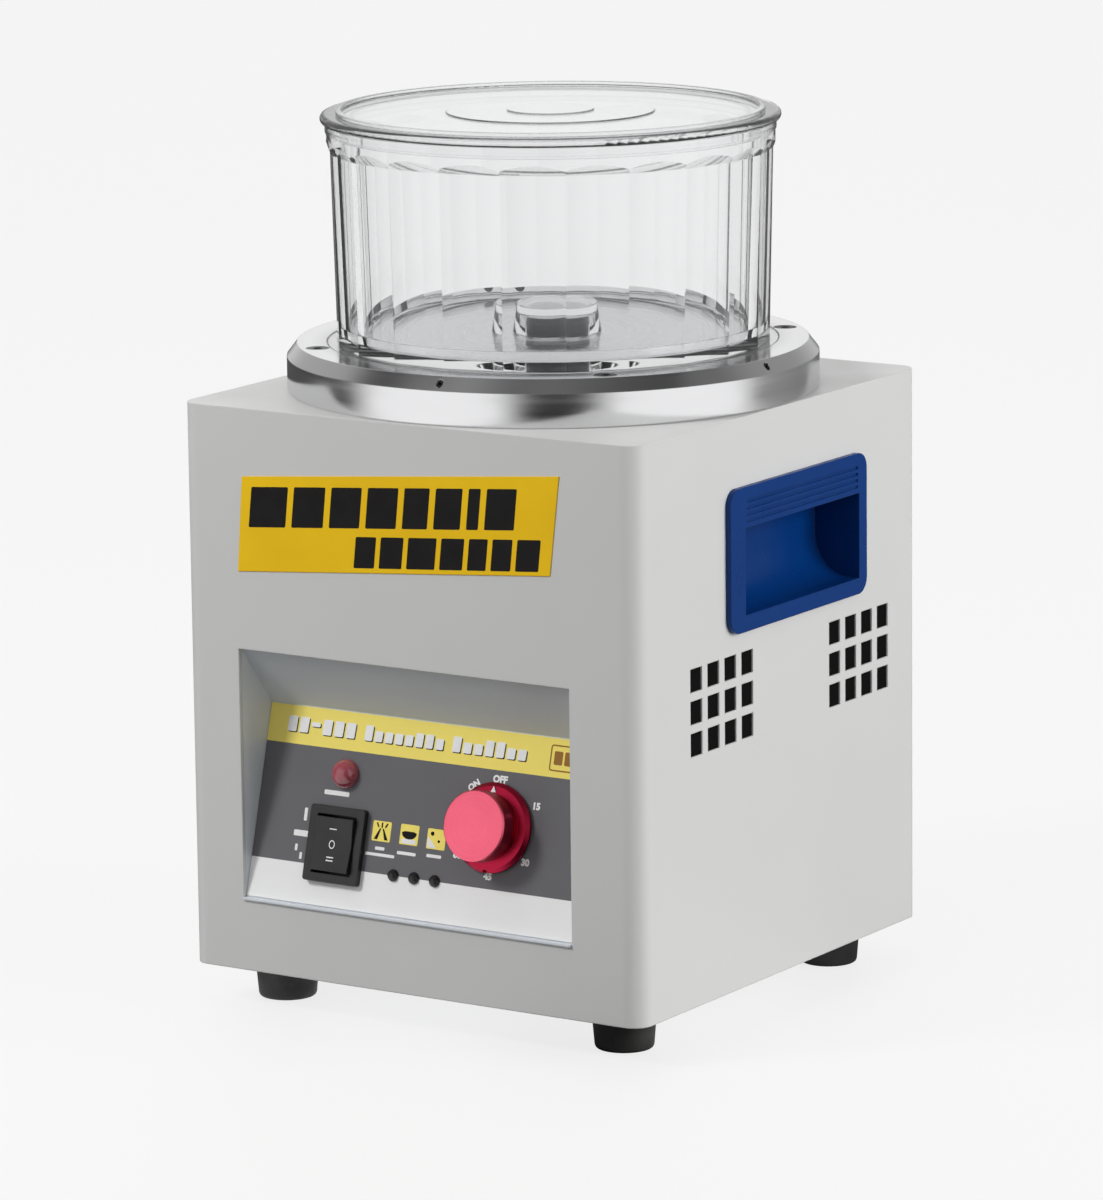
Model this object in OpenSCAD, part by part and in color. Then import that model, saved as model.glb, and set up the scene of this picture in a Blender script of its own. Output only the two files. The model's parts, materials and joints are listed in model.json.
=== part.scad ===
// Bench-top magnetic tumbler: a sheet-metal cabinet with a motor-driven magnet disc
// under a turned ring, and a clear lidded bowl that lifts off the ring.
// Millimetres, +Z up. The origin is on the floor, on the axis of the bowl and motor.
// The front with its controls faces -Y.

/* [Cabinet] */
// Width of the cabinet across the front
body_w = 231; // [225:1:240]
// Depth of the cabinet from front to back
body_d = 234; // [230:1:245]
// Height of the sheet-metal cabinet without its feet
body_h = 247; // [240:1:260]
// Radius of the four upright corners
corner_r = 9; // [6:1:12]
// Thickness of the cabinet sheet
sheet_t = 2; // [1.5:0.25:2.5]
// Height of the rubber feet
foot_h = 18; // [14:1:24]
// Radius of a foot at the floor
foot_r = 12.7; // [10:0.1:15]

/* [Side openings] */
// Length of the flush handle's flange along Y
handle_l = 113.5; // [105:0.5:118]
// Height of the flush handle's flange
handle_h = 62; // [58:0.5:66]
// Depth of the finger pocket behind the cabinet face
pocket_depth = 20; // [18:0.5:24]
// Width of one ventilation slot along Y
vent_w = 9.4; // [6:0.2:10]
// Height of one ventilation slot
vent_h = 10.1; // [6:0.1:11]
// Columns of slots in a group
vent_cols = 4; // [2:1:4]
// Rows of slots in a group
vent_rows = 3; // [2:1:3]

/* [Control recess] */
// Height of the recess's lower edge above the floor
recess_z0 = 50.5; // [46:0.5:54]
// Height of the recess's upper edge above the floor
recess_z1 = 160; // [156:1:164]
// Left edge of the recess
recess_x0 = -86.7; // [-90:0.1:-84]
// Right edge of the recess
recess_x1 = 81.5; // [80:0.1:90]
// How far the control panel leans back
panel_lean = 15; // [10:1:18]
// Length of the panel up its slope
panel_len = 85; // [80:1:88]

/* [Controls] */
// Radius of the timer knob's skirt
knob_skirt_r = 19.3; // [17:0.1:20]
// Radius of the timer knob's front face
knob_face_r = 15.2; // [13:0.1:16]
// How far the knob stands out of the panel
knob_h = 16.5; // [14:0.5:18]
// Width of the rocker switch's bezel
switch_w = 28; // [27:0.5:30]
// Height of the rocker switch's bezel
switch_h = 33; // [32:0.5:35]
// Radius of the power lamp's lens
lamp_r = 6.3; // [5:0.1:7]

/* [Bowl and lid] */
// Outer radius of the turned ring
ring_r = 115.3; // [112:0.1:115.4]
// Height of the turned ring above the cabinet
ring_h = 20.5; // [18:0.5:24]
// Radius of the recess that the bowl stands in
seat_r = 98; // [98:0.1:99]
// Outer radius of the bowl under its rim
bowl_r = 96.7; // [96:0.1:97]
// Number of flat facets round the bowl
facets = 22; // [16:1:24]
// Radius of the lid's flange
lid_r = 99.3; // [98:0.1:101]
// Radius of the lid's raised lip
lip_r = 92.6; // [90:0.1:93]
// Overall height to the top of the closed lid
total_h = 386; // [384:1:400]

/* [Drive] */
// Radius of the motor
motor_r = 52; // [45:1:55]
// Length of the motor
motor_l = 104; // [90:1:110]
// Radius of the motor shaft
shaft_r = 6; // [5:0.5:7]
// Radius of the magnet disc
disc_r = 80; // [70:1:84]
// Number of magnets on the disc
magnet_n = 8; // [6:1:10]

/* [Hidden] */
$fn = 96;
eps = 1;

// --- cabinet levels and faces ---
body_top = foot_h + body_h;
face_x = body_w / 2;
face_y = -body_d / 2;
inner_y = face_y + sheet_t;
ring_top = body_top + ring_h;
rear_y = body_d / 2;
rear_plate_t = 1.5;
rear_face = rear_y + rear_plate_t;

// --- turned ring, seat and deck ---
ring_side_h = ring_h - 5.8;
ring_chamfer = 4.5;
ring_bore_r = 88;
deck_t = 1.5;
seat_depth = 3.5;
deck_top = ring_top - seat_depth + deck_t;
ring_screw_pcr = 103.5;
screw_clear_r = 2.7;
countersink_r = 5.2;
grub_angles = [-82, -4, 98, 176];
grub_r = 1.5;
grub_l = 9.4;

// --- bowl ---
bowl_z0 = deck_top;
lid_flange_t = 4;
lid_edge_r = lid_flange_t / 2;
lip_h = 1.6;
lid_step_r = 45;
lid_pad_r = 18.8;
bowl_z1 = total_h - lip_h - lid_flange_t;
bowl_foot_r = seat_r - 0.4;
bowl_foot_h = 1.8;
bowl_floor = 5;
facet_low = 92.9;
facet_high = 94.8;
scoop_h = 5;
facet_turn = 3.6;
facet_top = bowl_z1 - 7;
band_h = 3.6;
band_r = bowl_r + 0.5;
cavity_r0 = 88.3;
cavity_r1 = 91.8;
cavity_h = bowl_z1 - bowl_z0 - bowl_floor;
hub_r0 = 23;
hub_r1 = 19;
hub_h = 17;
boss_r = 13.5;
boss_h = 11;

// --- handle (Y, Z and depth behind the cabinet's side) ---
handle_y0 = -47;
handle_z0 = 173.5;
handle_t = 2.6;
handle_corner = 7;
pocket_y0 = handle_y0 + 12;
pocket_y1 = handle_y0 + handle_l - 6.5;
pocket_z0 = handle_z0 + 7;
pocket_z1 = handle_z0 + 44.5;
grip_z = handle_z0 + 52.5;
pocket_wall = 2;
pocket_rim = pocket_wall + 0.3;
scoop_r = 18;
rib_n = 4;

// --- ventilation slots ---
vent_pitch_y = 13.73;
vent_pitch_z = 13.8;
vent_y0 = [-75.8, 38.4];
vent_z0 = 126.5;

// --- control recess and panel ---
tray_t = 1.5;
overlay_t = 0.5;
lip_t = 1.2;
recess_w = recess_x1 - recess_x0;
recess_h = recess_z1 - recess_z0;
hood_dy = panel_len * sin(panel_lean);
hood_dz = recess_h - panel_len * cos(panel_lean);
hood_k = hood_dy / hood_dz;
hood_len = norm([hood_dy, hood_dz]);
flange_w = 10;
knob_at = [34.9, 43.6];
switch_at = [-43, 27.2];
lamp_at = [-43, 58];
led_at = [[-12.5, 17.8], [-1.9, 17.8], [8.7, 17.8]];
switch_body_w = switch_w - 3.5;
switch_body_h = switch_h - 3.5;
switch_proud = 3;
switch_depth = 24;
rocker_w = 19.6;
rocker_pin_r = 1.2;
timer_side = 44;
timer_depth = 28;
spindle_r = 3;
led_r = 2.6;
led_stem_r = 1.6;
bush_r = 5;

// --- drive ---
plate_t = 3;
plate_side = 166;
plate_drop = 14;
plate_z = body_top - plate_drop;
motor_top = plate_z - plate_t;
motor_z0 = motor_top - motor_l;
cap_t = 8;
can_t = 2.5;
winding_room = 18;
core_z0 = motor_z0 + cap_t + winding_room;
core_h = motor_l - 2 * (cap_t + winding_room);
core_bore_r = 29;
rotor_r = 28.5;
winding_r = 4.6;
winding_pcr = 38;
motor_screw_r = 1.95;
shaft_below = 18;
bearing_r = 16;
bearing_w = 10;
disc_z0 = body_top + 1;
disc_t = 9;
hub_len = 13;
magnet_r = 10;
magnet_h = 9;
magnet_pcr = 62;
fan_r = 44;
fan_h = 12;
fan_blades = 9;
run_gap = 0.04;

// --- rear ---
inlet_x = -62;
inlet_z = 62;
inlet_w = 50;
inlet_h = 38;
inlet_t = 3;
inlet_body_w = 30;
inlet_body_h = 34;
inlet_depth = 26;
socket_w = 24;
socket_h = 16.5;
socket_depth = 15;
socket_z = inlet_z - 6;
drawer_z = inlet_z + 10.5;
drawer_w = 20;
drawer_h = 9;
drawer_depth = 20;
rear_w = 204;
rear_h = 236;
rear_z0 = foot_h + 5;
rear_screw_x = 96;
rear_vent_z0 = 176;

// --- feet and base ---
foot_x = 87;
foot_y = 85;
base_t = 2;
base_gap = 0.2;
base_screw_x = face_x - 10;
base_screw_y = 60;
base_flange_l = 190;
case_screw_r = 1.9;
case_screw_l = 8;
case_head_r = 3.6;
case_head_h = 2.2;

// --- electronics on the base ---
board_w = 90;
board_d = 62;
board_t = 1.6;
board_at = [-70, 12];
board_z = foot_h + base_t + 10;
cap_can_r = 17;
cap_can_l = 62;
cap_at = [62, -12];
wire_r = 1.8;
wire_sides = 8;
wire_side = [0.6, 0.6, 0.53];

// ---------- shared shapes ----------

// Rectangle with round corners, centred on the origin.
module rounded_rect(w, h, r) {
    square([w - 2 * r, h], center = true);
    square([w, h - 2 * r], center = true);
    for (sx = [-1, 1], sy = [-1, 1])
        translate([sx * (w / 2 - r), sy * (h / 2 - r)]) circle(r);
}

module cabinet_outline(inset)
    rounded_rect(body_w - 2 * inset, body_d - 2 * inset, corner_r - inset);

// Children drawn in the YZ plane at x and extruded towards +X.
module along_x(x, len)
    translate([x, 0, 0]) rotate([90, 0, 90]) linear_extrude(len) children();

// Children drawn in the XZ plane and extruded from y0 to y1.
module along_y(y0, y1)
    translate([0, y1, 0]) rotate([90, 0, 0]) linear_extrude(y1 - y0) children();

// Panel frame: X across, Y up the slope, Z out of the panel's steel face.
module on_panel(at = [0, 0], out = 0)
    translate([0, inner_y, recess_z0]) rotate([90 - panel_lean, 0, 0])
        translate([at[0], at[1], out]) children();

function panel_point(x, v, out) = [
    x,
    inner_y + v * sin(panel_lean) - out * cos(panel_lean),
    recess_z0 + v * cos(panel_lean) + out * sin(panel_lean)
];

module at_corners(x, y)
    for (sx = [-1, 1], sy = [-1, 1]) translate([sx * x, sy * y, 0]) children();

module at_ring_screws()
    for (a = [45 : 90 : 315]) rotate([0, 0, a]) translate([ring_screw_pcr, 0, 0]) children();

// Pan-head machine screw pointing down, its head's underside at the origin.
module pan_screw(shank_r, shank_l, head_r, head_h) {
    translate([0, 0, -shank_l]) cylinder(r = shank_r, h = shank_l);
    difference() {
        cylinder(r = head_r, h = head_h);
        for (a = [0, 90])
            rotate([0, 0, a]) translate([-head_r * 0.6, -0.5, head_h - 0.9])
                cube([head_r * 1.2, 1, eps]);
    }
}

module case_screw()
    pan_screw(case_screw_r, case_screw_l, case_head_r, case_head_h);

module hex_nut(r, h, bore)
    difference() {
        cylinder(r = r, h = h, $fn = 6);
        translate([0, 0, -eps]) cylinder(r = bore, h = h + 2 * eps);
    }

// Wire: an eight-sided tube swept through a list of points, mitred at each inner one.
function unit(v) = v / norm(v);
function heading(p, i) = unit(
    (i < len(p) - 1 ? unit(p[i + 1] - p[i]) : [0, 0, 0])
        + (i > 0 ? unit(p[i] - p[i - 1]) : [0, 0, 0])
);
function wire_ring(p, i) =
    let (d = heading(p, i), u = unit(cross(d, wire_side)), v = cross(u, d))
    [
        for (k = [0 : wire_sides - 1])
            let (a = k * 360 / wire_sides) p[i] + wire_r * (cos(a) * u + sin(a) * v)
    ];

module wire(p) {
    last = (len(p) - 1) * wire_sides;
    polyhedron(
        points = [for (i = [0 : len(p) - 1]) each wire_ring(p, i)],
        faces = [
            [for (k = [0 : wire_sides - 1]) k],
            [for (k = [wire_sides - 1 : -1 : 0]) last + k],
            for (i = [0 : len(p) - 2], k = [0 : wire_sides - 1])
                let (a = i * wire_sides + k, b = i * wire_sides + (k + 1) % wire_sides)
                each [[a, a + wire_sides, b + wire_sides], [a, b + wire_sides, b]]
        ]
    );
}

// ---------- cabinet ----------

module vent_slots(y0)
    for (c = [0 : vent_cols - 1], r = [0 : vent_rows - 1])
        translate([-face_x - eps, y0 + c * vent_pitch_y, vent_z0 + r * vent_pitch_z])
            cube([body_w + 2 * eps, vent_w, vent_h]);

module handle_cutouts()
    translate([-face_x - eps, pocket_y0 - pocket_rim, pocket_z0 - pocket_rim]) cube([
        body_w + 2 * eps,
        pocket_y1 - pocket_y0 + 2 * pocket_rim,
        grip_z - pocket_z0 + 2 * pocket_rim
    ]);

module at_base_screws()
    for (sx = [-1, 1], y = [-base_screw_y, 0, base_screw_y])
        translate([sx * base_screw_x, y, 0]) children();

module housing_shell()
    color([0.80, 0.79, 0.76]) difference() {
        union() {
            difference() {
                translate([0, 0, foot_h]) linear_extrude(body_h) cabinet_outline(0);
                translate([0, 0, foot_h - eps])
                    linear_extrude(body_h - sheet_t + eps) cabinet_outline(sheet_t);
            }
            for (sx = [-1, 1])
                translate([sx * (face_x - 9) - 8, -base_flange_l / 2, foot_h + base_t + base_gap])
                    cube([16, base_flange_l, base_t]);
        }
        translate([0, 0, body_top - sheet_t - eps]) {
            cylinder(r = ring_bore_r, h = sheet_t + 2 * eps);
            at_ring_screws() cylinder(r = screw_clear_r, h = sheet_t + 2 * eps);
        }
        translate([recess_x0, face_y - eps, recess_z0 - lip_t])
            cube([recess_w, sheet_t + 2 * eps, recess_h + lip_t]);
        along_y(rear_y - sheet_t - eps, rear_y + eps)
            translate([0, rear_z0 + rear_h / 2]) rounded_rect(rear_w - 24, rear_h - 28, 3);
        for (y0 = vent_y0) vent_slots(y0);
        handle_cutouts();
        translate([0, 0, foot_h]) at_base_screws() cylinder(r = 2, h = 10);
        at_rear_screws() cylinder(r = 2, h = 10, center = true);
    }

// Rear screw positions, with local +Z pointing out of the back.
module at_rear_screws()
    for (sx = [-1, 1], k = [0 : 2])
        translate([sx * rear_screw_x, rear_face, rear_z0 + 8 + k * (rear_h - 16) / 2])
            rotate([-90, 0, 0]) children();

module rear_vent_slots()
    for (c = [-3 : 2], r = [0 : vent_rows - 1])
        translate([(c + 0.5) * vent_pitch_y - vent_w / 2, rear_y - eps, rear_vent_z0 + r * vent_pitch_z])
            cube([vent_w, rear_plate_t + 2 * eps, vent_h]);

module rear_panel()
    color([0.78, 0.77, 0.74]) difference() {
        along_y(rear_y, rear_face) translate([0, rear_z0 + rear_h / 2]) rounded_rect(rear_w, rear_h, 4);
        translate([inlet_x - inlet_body_w / 2 - 0.2, rear_y - eps, inlet_z - inlet_body_h / 2 - 0.2])
            cube([inlet_body_w + 0.4, rear_plate_t + 2 * eps, inlet_body_h + 0.4]);
        rear_vent_slots();
        at_rear_screws() cylinder(r = 2.2, h = 10, center = true);
        at_inlet_screws() cylinder(r = 1.6, h = 10, center = true);
    }

module rear_panel_screws()
    color([0.6, 0.6, 0.62]) at_rear_screws() case_screw();

module base_plate()
    color([0.62, 0.62, 0.60]) difference() {
        translate([0, 0, foot_h]) linear_extrude(base_t) cabinet_outline(sheet_t + base_gap);
        translate([0, 0, foot_h - eps]) {
            at_corners(foot_x, foot_y) cylinder(r = 2.2, h = base_t + 2 * eps);
            at_base_screws() cylinder(r = 2.2, h = base_t + 2 * eps);
            for (k = [-3 : 3]) translate([k * 9 - 2, -40, 0]) cube([4, 80, base_t + 2 * eps]);
        }
    }

module base_screws()
    color([0.6, 0.6, 0.62]) translate([0, 0, foot_h]) at_base_screws() rotate([180, 0, 0]) case_screw();

module foot(sx, sy)
    color([0.06, 0.06, 0.06]) translate([sx * foot_x, sy * foot_y, 0]) difference() {
        union() {
            cylinder(r1 = foot_r - 0.8, r2 = foot_r, h = 1);
            translate([0, 0, 1]) cylinder(r1 = foot_r, r2 = foot_r + 1.4, h = foot_h - 1);
        }
        translate([0, 0, -eps]) cylinder(r = 5, h = 9 + eps);
        cylinder(r = 2.2, h = foot_h + eps);
    }
module foot_front_left() foot(-1, -1);
module foot_front_right() foot(1, -1);
module foot_rear_left() foot(-1, 1);
module foot_rear_right() foot(1, 1);

module foot_screws()
    color([0.6, 0.6, 0.62]) at_corners(foot_x, foot_y)
        translate([0, 0, 9]) rotate([180, 0, 0]) pan_screw(1.95, foot_h - 3, 4.2, 2.6);

module foot_nuts()
    color([0.6, 0.6, 0.62]) translate([0, 0, foot_h + base_t])
        at_corners(foot_x, foot_y) hex_nut(4.4, 3.2, 2);

// ---------- control recess ----------

// Room in front of the panel and under the hood, drawn in Y and Z.
module recess_void()
    polygon([
        [inner_y - 4, recess_z0],
        [inner_y, recess_z0],
        [inner_y + hood_dy, recess_z1 - hood_dz],
        [inner_y, recess_z1],
        [inner_y - 4, recess_z1]
    ]);

// Back of the tray: the panel and hood lines set back by the sheet's thickness.
module tray_outline() {
    back_y = inner_y + tray_t / cos(panel_lean);
    hood_y = inner_y + tray_t * hood_dz / hood_len;
    hood_z = recess_z1 + tray_t * hood_dy / hood_len;
    slope = tan(panel_lean);
    top_z = (hood_y + hood_z * hood_k - back_y + recess_z0 * slope) / (slope + hood_k);
    polygon([
        [inner_y, recess_z0 - lip_t],
        [back_y - lip_t * slope, recess_z0 - lip_t],
        [back_y + (top_z - recess_z0) * slope, top_z],
        [inner_y, hood_z + (hood_y - inner_y) / hood_k]
    ]);
}

module panel_holes() {
    on_panel(switch_at) cube([switch_body_w + 0.4, switch_body_h + 0.4, 12], center = true);
    for (p = [lamp_at, knob_at]) on_panel(p) cylinder(r = bush_r + 0.2, h = 12, center = true);
    for (p = led_at) on_panel(p) cylinder(r = led_stem_r + 0.1, h = 12, center = true);
}

module control_panel()
    color([0.74, 0.73, 0.70]) difference() {
        union() {
            along_x(recess_x0 - tray_t, recess_w + 2 * tray_t) tray_outline();
            translate([recess_x0 - flange_w, inner_y, recess_z0 - flange_w])
                cube([recess_w + 2 * flange_w, tray_t, recess_h + 2 * flange_w]);
            translate([recess_x0 + 0.1, face_y - 1, recess_z0 - lip_t + 0.1])
                cube([recess_w - 0.2, sheet_t + 1 + eps, lip_t - 0.1]);
        }
        along_x(recess_x0, recess_w) recess_void();
        panel_holes();
    }

module panel_overlay()
    color([0.36, 0.37, 0.39]) difference() {
        on_panel([(recess_x0 + recess_x1) / 2, panel_len / 2])
            linear_extrude(overlay_t)
                square([recess_w - 0.6, panel_len - 0.8], center = true);
        panel_holes();
    }

// Badge on the front, its long edges rising to the right.
module front_label()
    color([0.90, 0.72, 0.15]) along_y(face_y - 0.3, face_y)
        polygon([[-86, 194], [73, 207], [78, 249.5], [-83, 235.5]]);

module switch_body()
    color([0.05, 0.05, 0.05]) on_panel(switch_at) difference() {
        union() {
            translate([0, 0, overlay_t]) linear_extrude(switch_proud)
                rounded_rect(switch_w, switch_h, 1.5);
            translate([0, 0, -switch_depth + overlay_t]) linear_extrude(switch_depth)
                square([switch_body_w, switch_body_h], center = true);
        }
        translate([0, 0, overlay_t - 4.5]) linear_extrude(20) square([rocker_w + 0.6, 25.4], center = true);
        translate([0, 0, overlay_t]) rotate([0, 90, 0])
            cylinder(r = rocker_pin_r + 0.05, h = rocker_w + 3.2, center = true);
    }

module switch_rocker()
    color([0.09, 0.09, 0.09]) on_panel(switch_at, overlay_t) {
        rotate([90, 0, 90]) translate([0, 0, -rocker_w / 2]) linear_extrude(rocker_w)
            polygon([[-12, -1.5], [12, -1.5], [11.6, 5.3], [0, 4], [-11.6, 5.3]]);
        rotate([0, 90, 0]) cylinder(r = rocker_pin_r, h = rocker_w + 2.8, center = true);
    }

module power_lamp()
    color([0.75, 0.08, 0.12]) on_panel(lamp_at, overlay_t) {
        cylinder(r = lamp_r, h = 1.5);
        intersection() {
            translate([0, 0, 0.4]) sphere(lamp_r);
            translate([0, 0, 1.5]) cylinder(r = lamp_r, h = 10);
        }
    }

module lamp_body()
    color([0.1, 0.1, 0.1]) on_panel(lamp_at, overlay_t) {
        translate([0, 0, -20]) cylinder(r = bush_r, h = 20);
        translate([0, 0, -overlay_t - tray_t - 3]) cylinder(r = 8, h = 3, $fn = 6);
    }

module status_leds()
    color([0.04, 0.04, 0.04]) for (p = led_at) on_panel(p, overlay_t) {
        translate([0, 0, -8]) cylinder(r = led_stem_r, h = 8);
        cylinder(r = led_r, h = 0.6);
        intersection() {
            sphere(led_r);
            translate([0, 0, 0.6]) cylinder(r = led_r, h = 4);
        }
    }

module timer_body()
    color([0.85, 0.84, 0.80]) on_panel(knob_at, -tray_t) difference() {
        union() {
            translate([-timer_side / 2, -timer_side / 2, -timer_depth])
                cube([timer_side, timer_side, timer_depth]);
            cylinder(r = bush_r, h = tray_t + overlay_t);
        }
        translate([0, 0, -18]) cylinder(r = spindle_r + run_gap, h = 30);
    }

module timer_spindle()
    color([0.7, 0.7, 0.72]) on_panel(knob_at, -tray_t - 17) cylinder(r = spindle_r, h = 29);

// Knob: skirt with a sloping shoulder, a slight waist and a flat turned face.
module timer_knob()
    color([0.80, 0.10, 0.22]) on_panel(knob_at, overlay_t) difference() {
        rotate_extrude() polygon([
            [0, 0.6], [knob_skirt_r - 0.5, 0.6], [knob_skirt_r, 1.1], [knob_skirt_r, 2.2],
            [knob_skirt_r - 1.6, 3.6], [knob_face_r - 0.9, 4.2], [knob_face_r - 0.9, 8],
            [knob_face_r, 8.9], [knob_face_r, knob_h - 0.5], [knob_face_r - 0.5, knob_h], [0, knob_h]
        ]);
        cylinder(r = spindle_r, h = 10);
        translate([0, 0, 2]) rotate([90, 0, 0]) cylinder(r = 1.3, h = 30);
    }

module knob_set_screw()
    color([0.3, 0.3, 0.3]) on_panel(knob_at, overlay_t + 2)
        translate([0, -spindle_r, 0]) rotate([90, 0, 0]) cylinder(r = 1.3, h = 5);

// ---------- flush handles ----------

// Finger pocket's inside, in X (from the cabinet face, + is out) and Z.
module pocket_inside() {
    translate([-2, pocket_z0 + scoop_r]) circle(scoop_r);
    translate([-pocket_depth, pocket_z0 + scoop_r])
        square([pocket_depth - 2, grip_z - pocket_z0 - scoop_r]);
    translate([-2 - eps, pocket_z0]) square([8, pocket_z1 - pocket_z0]);
}

module pocket_outside()
    intersection() {
        translate([-pocket_depth - pocket_wall, pocket_z0 - pocket_wall])
            square([pocket_depth + pocket_wall, grip_z - pocket_z0 + 2 * pocket_wall]);
        union() {
            translate([-2, pocket_z0 + scoop_r]) circle(scoop_r + pocket_wall);
            translate([-pocket_depth - pocket_wall, pocket_z0 + scoop_r]) square([40, 60]);
            translate([-2, pocket_z0 - pocket_wall]) square([10, 60]);
        }
    }

module flush_handle()
    color([0.10, 0.22, 0.55]) translate([face_x, 0, 0]) difference() {
        union() {
            translate([0, handle_y0 + handle_l / 2, handle_z0 + handle_h / 2]) rotate([90, 0, 90])
                linear_extrude(handle_t) rounded_rect(handle_l, handle_h, handle_corner);
            along_y(pocket_y0 - pocket_wall, pocket_y1 + pocket_wall) pocket_outside();
        }
        along_y(pocket_y0, pocket_y1) pocket_inside();
        for (k = [0 : rib_n - 1])
            translate([handle_t - 0.8, pocket_y0 + 1, pocket_z1 + 2.2 + k * 2.8]) cube([eps + 1, 93, 1.3]);
    }
module handle_right() flush_handle();
module handle_left() mirror([1, 0, 0]) flush_handle();

// ---------- ring and deck ----------

module bowl_ring()
    color([0.80, 0.80, 0.81]) difference() {
        translate([0, 0, body_top]) rotate_extrude() polygon([
            [ring_bore_r, 0], [ring_r - 0.6, 0], [ring_r, 0.6], [ring_r, ring_side_h],
            [ring_r - ring_chamfer, ring_h], [seat_r, ring_h],
            [seat_r, ring_h - seat_depth], [ring_bore_r, ring_h - seat_depth]
        ]);
        at_ring_screws() {
            translate([0, 0, body_top - eps]) cylinder(r = screw_clear_r, h = ring_h + 2 * eps);
            translate([0, 0, ring_top - 3]) cylinder(r1 = screw_clear_r, r2 = countersink_r, h = 3);
        }
        at_grubs() cylinder(r = grub_r, h = 20);
    }

// Radial threaded holes in the ring's chamfer; local +Z points outwards.
module at_grubs()
    for (a = grub_angles)
        rotate([0, 0, a]) translate([ring_r - 12, 0, body_top + (ring_side_h + ring_h) / 2])
            rotate([0, 90, 0]) children();

module ring_grub_screws()
    color([0.45, 0.45, 0.47]) at_grubs() difference() {
        cylinder(r = grub_r, h = grub_l);
        translate([0, 0, grub_l - 1.6]) cylinder(r = 0.8, h = 4, $fn = 6);
    }

module ring_screws()
    color([0.12, 0.12, 0.13]) at_ring_screws() difference() {
        union() {
            translate([0, 0, motor_top - 6]) cylinder(r = 2.5, h = ring_top - motor_top + 3.5);
            translate([0, 0, ring_top - 2.8]) cylinder(r1 = 2.5, r2 = countersink_r - 0.1, h = 2.7);
        }
        translate([0, 0, ring_top - 2.4]) cylinder(r = 2.1, h = 4, $fn = 6);
    }

module ring_nuts()
    color([0.6, 0.6, 0.62]) at_ring_screws() translate([0, 0, motor_top - 4]) hex_nut(4.6, 4, 2.52);

module deck_plate()
    color([0.72, 0.72, 0.73]) difference() {
        translate([0, 0, deck_top - deck_t]) cylinder(r = seat_r - 0.1, h = deck_t);
        translate([0, 0, deck_top - deck_t - eps]) cylinder(r = 4, h = deck_t + 2 * eps);
    }

module centre_boss()
    color([0.55, 0.55, 0.57]) {
        translate([0, 0, deck_top - deck_t]) cylinder(r = 4, h = deck_t);
        translate([0, 0, deck_top]) cylinder(r = boss_r, h = boss_h - 2);
        translate([0, 0, deck_top + boss_h - 2]) cylinder(r1 = boss_r, r2 = boss_r - 2, h = 2);
    }

// ---------- bowl and lid ----------

// One facet's cutter: a nearly upright flat that scoops outwards under the rim.
module facet_cutter()
    rotate([90, 0, 0]) translate([0, 0, -20]) linear_extrude(40) polygon([
        [facet_low, bowl_z0 + bowl_foot_h], [facet_high, facet_top - scoop_h],
        [bowl_r + 0.3, facet_top], [bowl_r + 20, facet_top], [bowl_r + 20, bowl_z0 + bowl_foot_h]
    ]);

module bowl()
    color([0.88, 0.92, 0.94, 0.35]) difference() {
        union() {
            difference() {
                translate([0, 0, bowl_z0]) cylinder(r = bowl_r, h = bowl_z1 - bowl_z0);
                for (i = [0 : facets - 1]) rotate([0, 0, facet_turn + i * 360 / facets]) facet_cutter();
            }
            translate([0, 0, bowl_z0]) cylinder(r = bowl_foot_r, h = bowl_foot_h);
            translate([0, 0, bowl_z1 - band_h]) cylinder(r = band_r, h = band_h);
        }
        difference() {
            translate([0, 0, bowl_z0 + bowl_floor]) rotate_extrude() polygon([
                [0, 0], [cavity_r0 - 5, 0], [cavity_r0, 5], [cavity_r1, cavity_h + eps], [0, cavity_h + eps]
            ]);
            translate([0, 0, bowl_z0]) cylinder(r1 = hub_r0, r2 = hub_r1, h = hub_h);
        }
        translate([0, 0, bowl_z0 - eps]) cylinder(r = boss_r + 1, h = boss_h + 1 + eps);
    }

module lid()
    color([0.90, 0.93, 0.95, 0.35]) translate([0, 0, bowl_z1]) {
        difference() {
            union() {
                cylinder(r = lid_r - lid_edge_r, h = lid_flange_t);
                rotate_extrude() translate([lid_r - lid_edge_r, lid_edge_r]) circle(lid_edge_r);
                translate([0, 0, lid_flange_t]) cylinder(r = lip_r, h = lip_h);
            }
            translate([0, 0, lid_flange_t - 0.4]) cylinder(r = lip_r - 2.4, h = lip_h + eps);
            translate([0, 0, -eps]) cylinder(r = lip_r - 7, h = eps + 1.2);
        }
        translate([0, 0, lid_flange_t - 0.6]) {
            cylinder(r = lid_step_r, h = 0.8);
            cylinder(r = lid_pad_r, h = 1.4);
        }
        translate([0, 0, -5.5]) difference() {
            cylinder(r = cavity_r1 - 0.8, h = 5.5);
            translate([0, 0, -eps]) cylinder(r = cavity_r1 - 3.4, h = 6 + eps);
        }
    }

// ---------- drive ----------

module at_motor_screws()
    for (a = [45 : 90 : 315]) rotate([0, 0, a]) translate([motor_r - 12, 0, 0]) children();

module motor_plate()
    color([0.70, 0.71, 0.72]) difference() {
        translate([-plate_side / 2, -plate_side / 2, motor_top]) cube([plate_side, plate_side, plate_t]);
        translate([0, 0, motor_top - eps]) {
            cylinder(r = 20, h = plate_t + 2 * eps);
            at_ring_screws() cylinder(r = screw_clear_r, h = plate_t + 2 * eps);
            at_motor_screws() cylinder(r = 2.2, h = plate_t + 2 * eps);
        }
    }

module motor_spacers()
    color([0.70, 0.70, 0.72]) at_ring_screws() translate([0, 0, plate_z]) difference() {
        cylinder(r = 6, h = body_top - sheet_t - plate_z);
        translate([0, 0, -eps]) cylinder(r = screw_clear_r, h = 30);
    }

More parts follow.
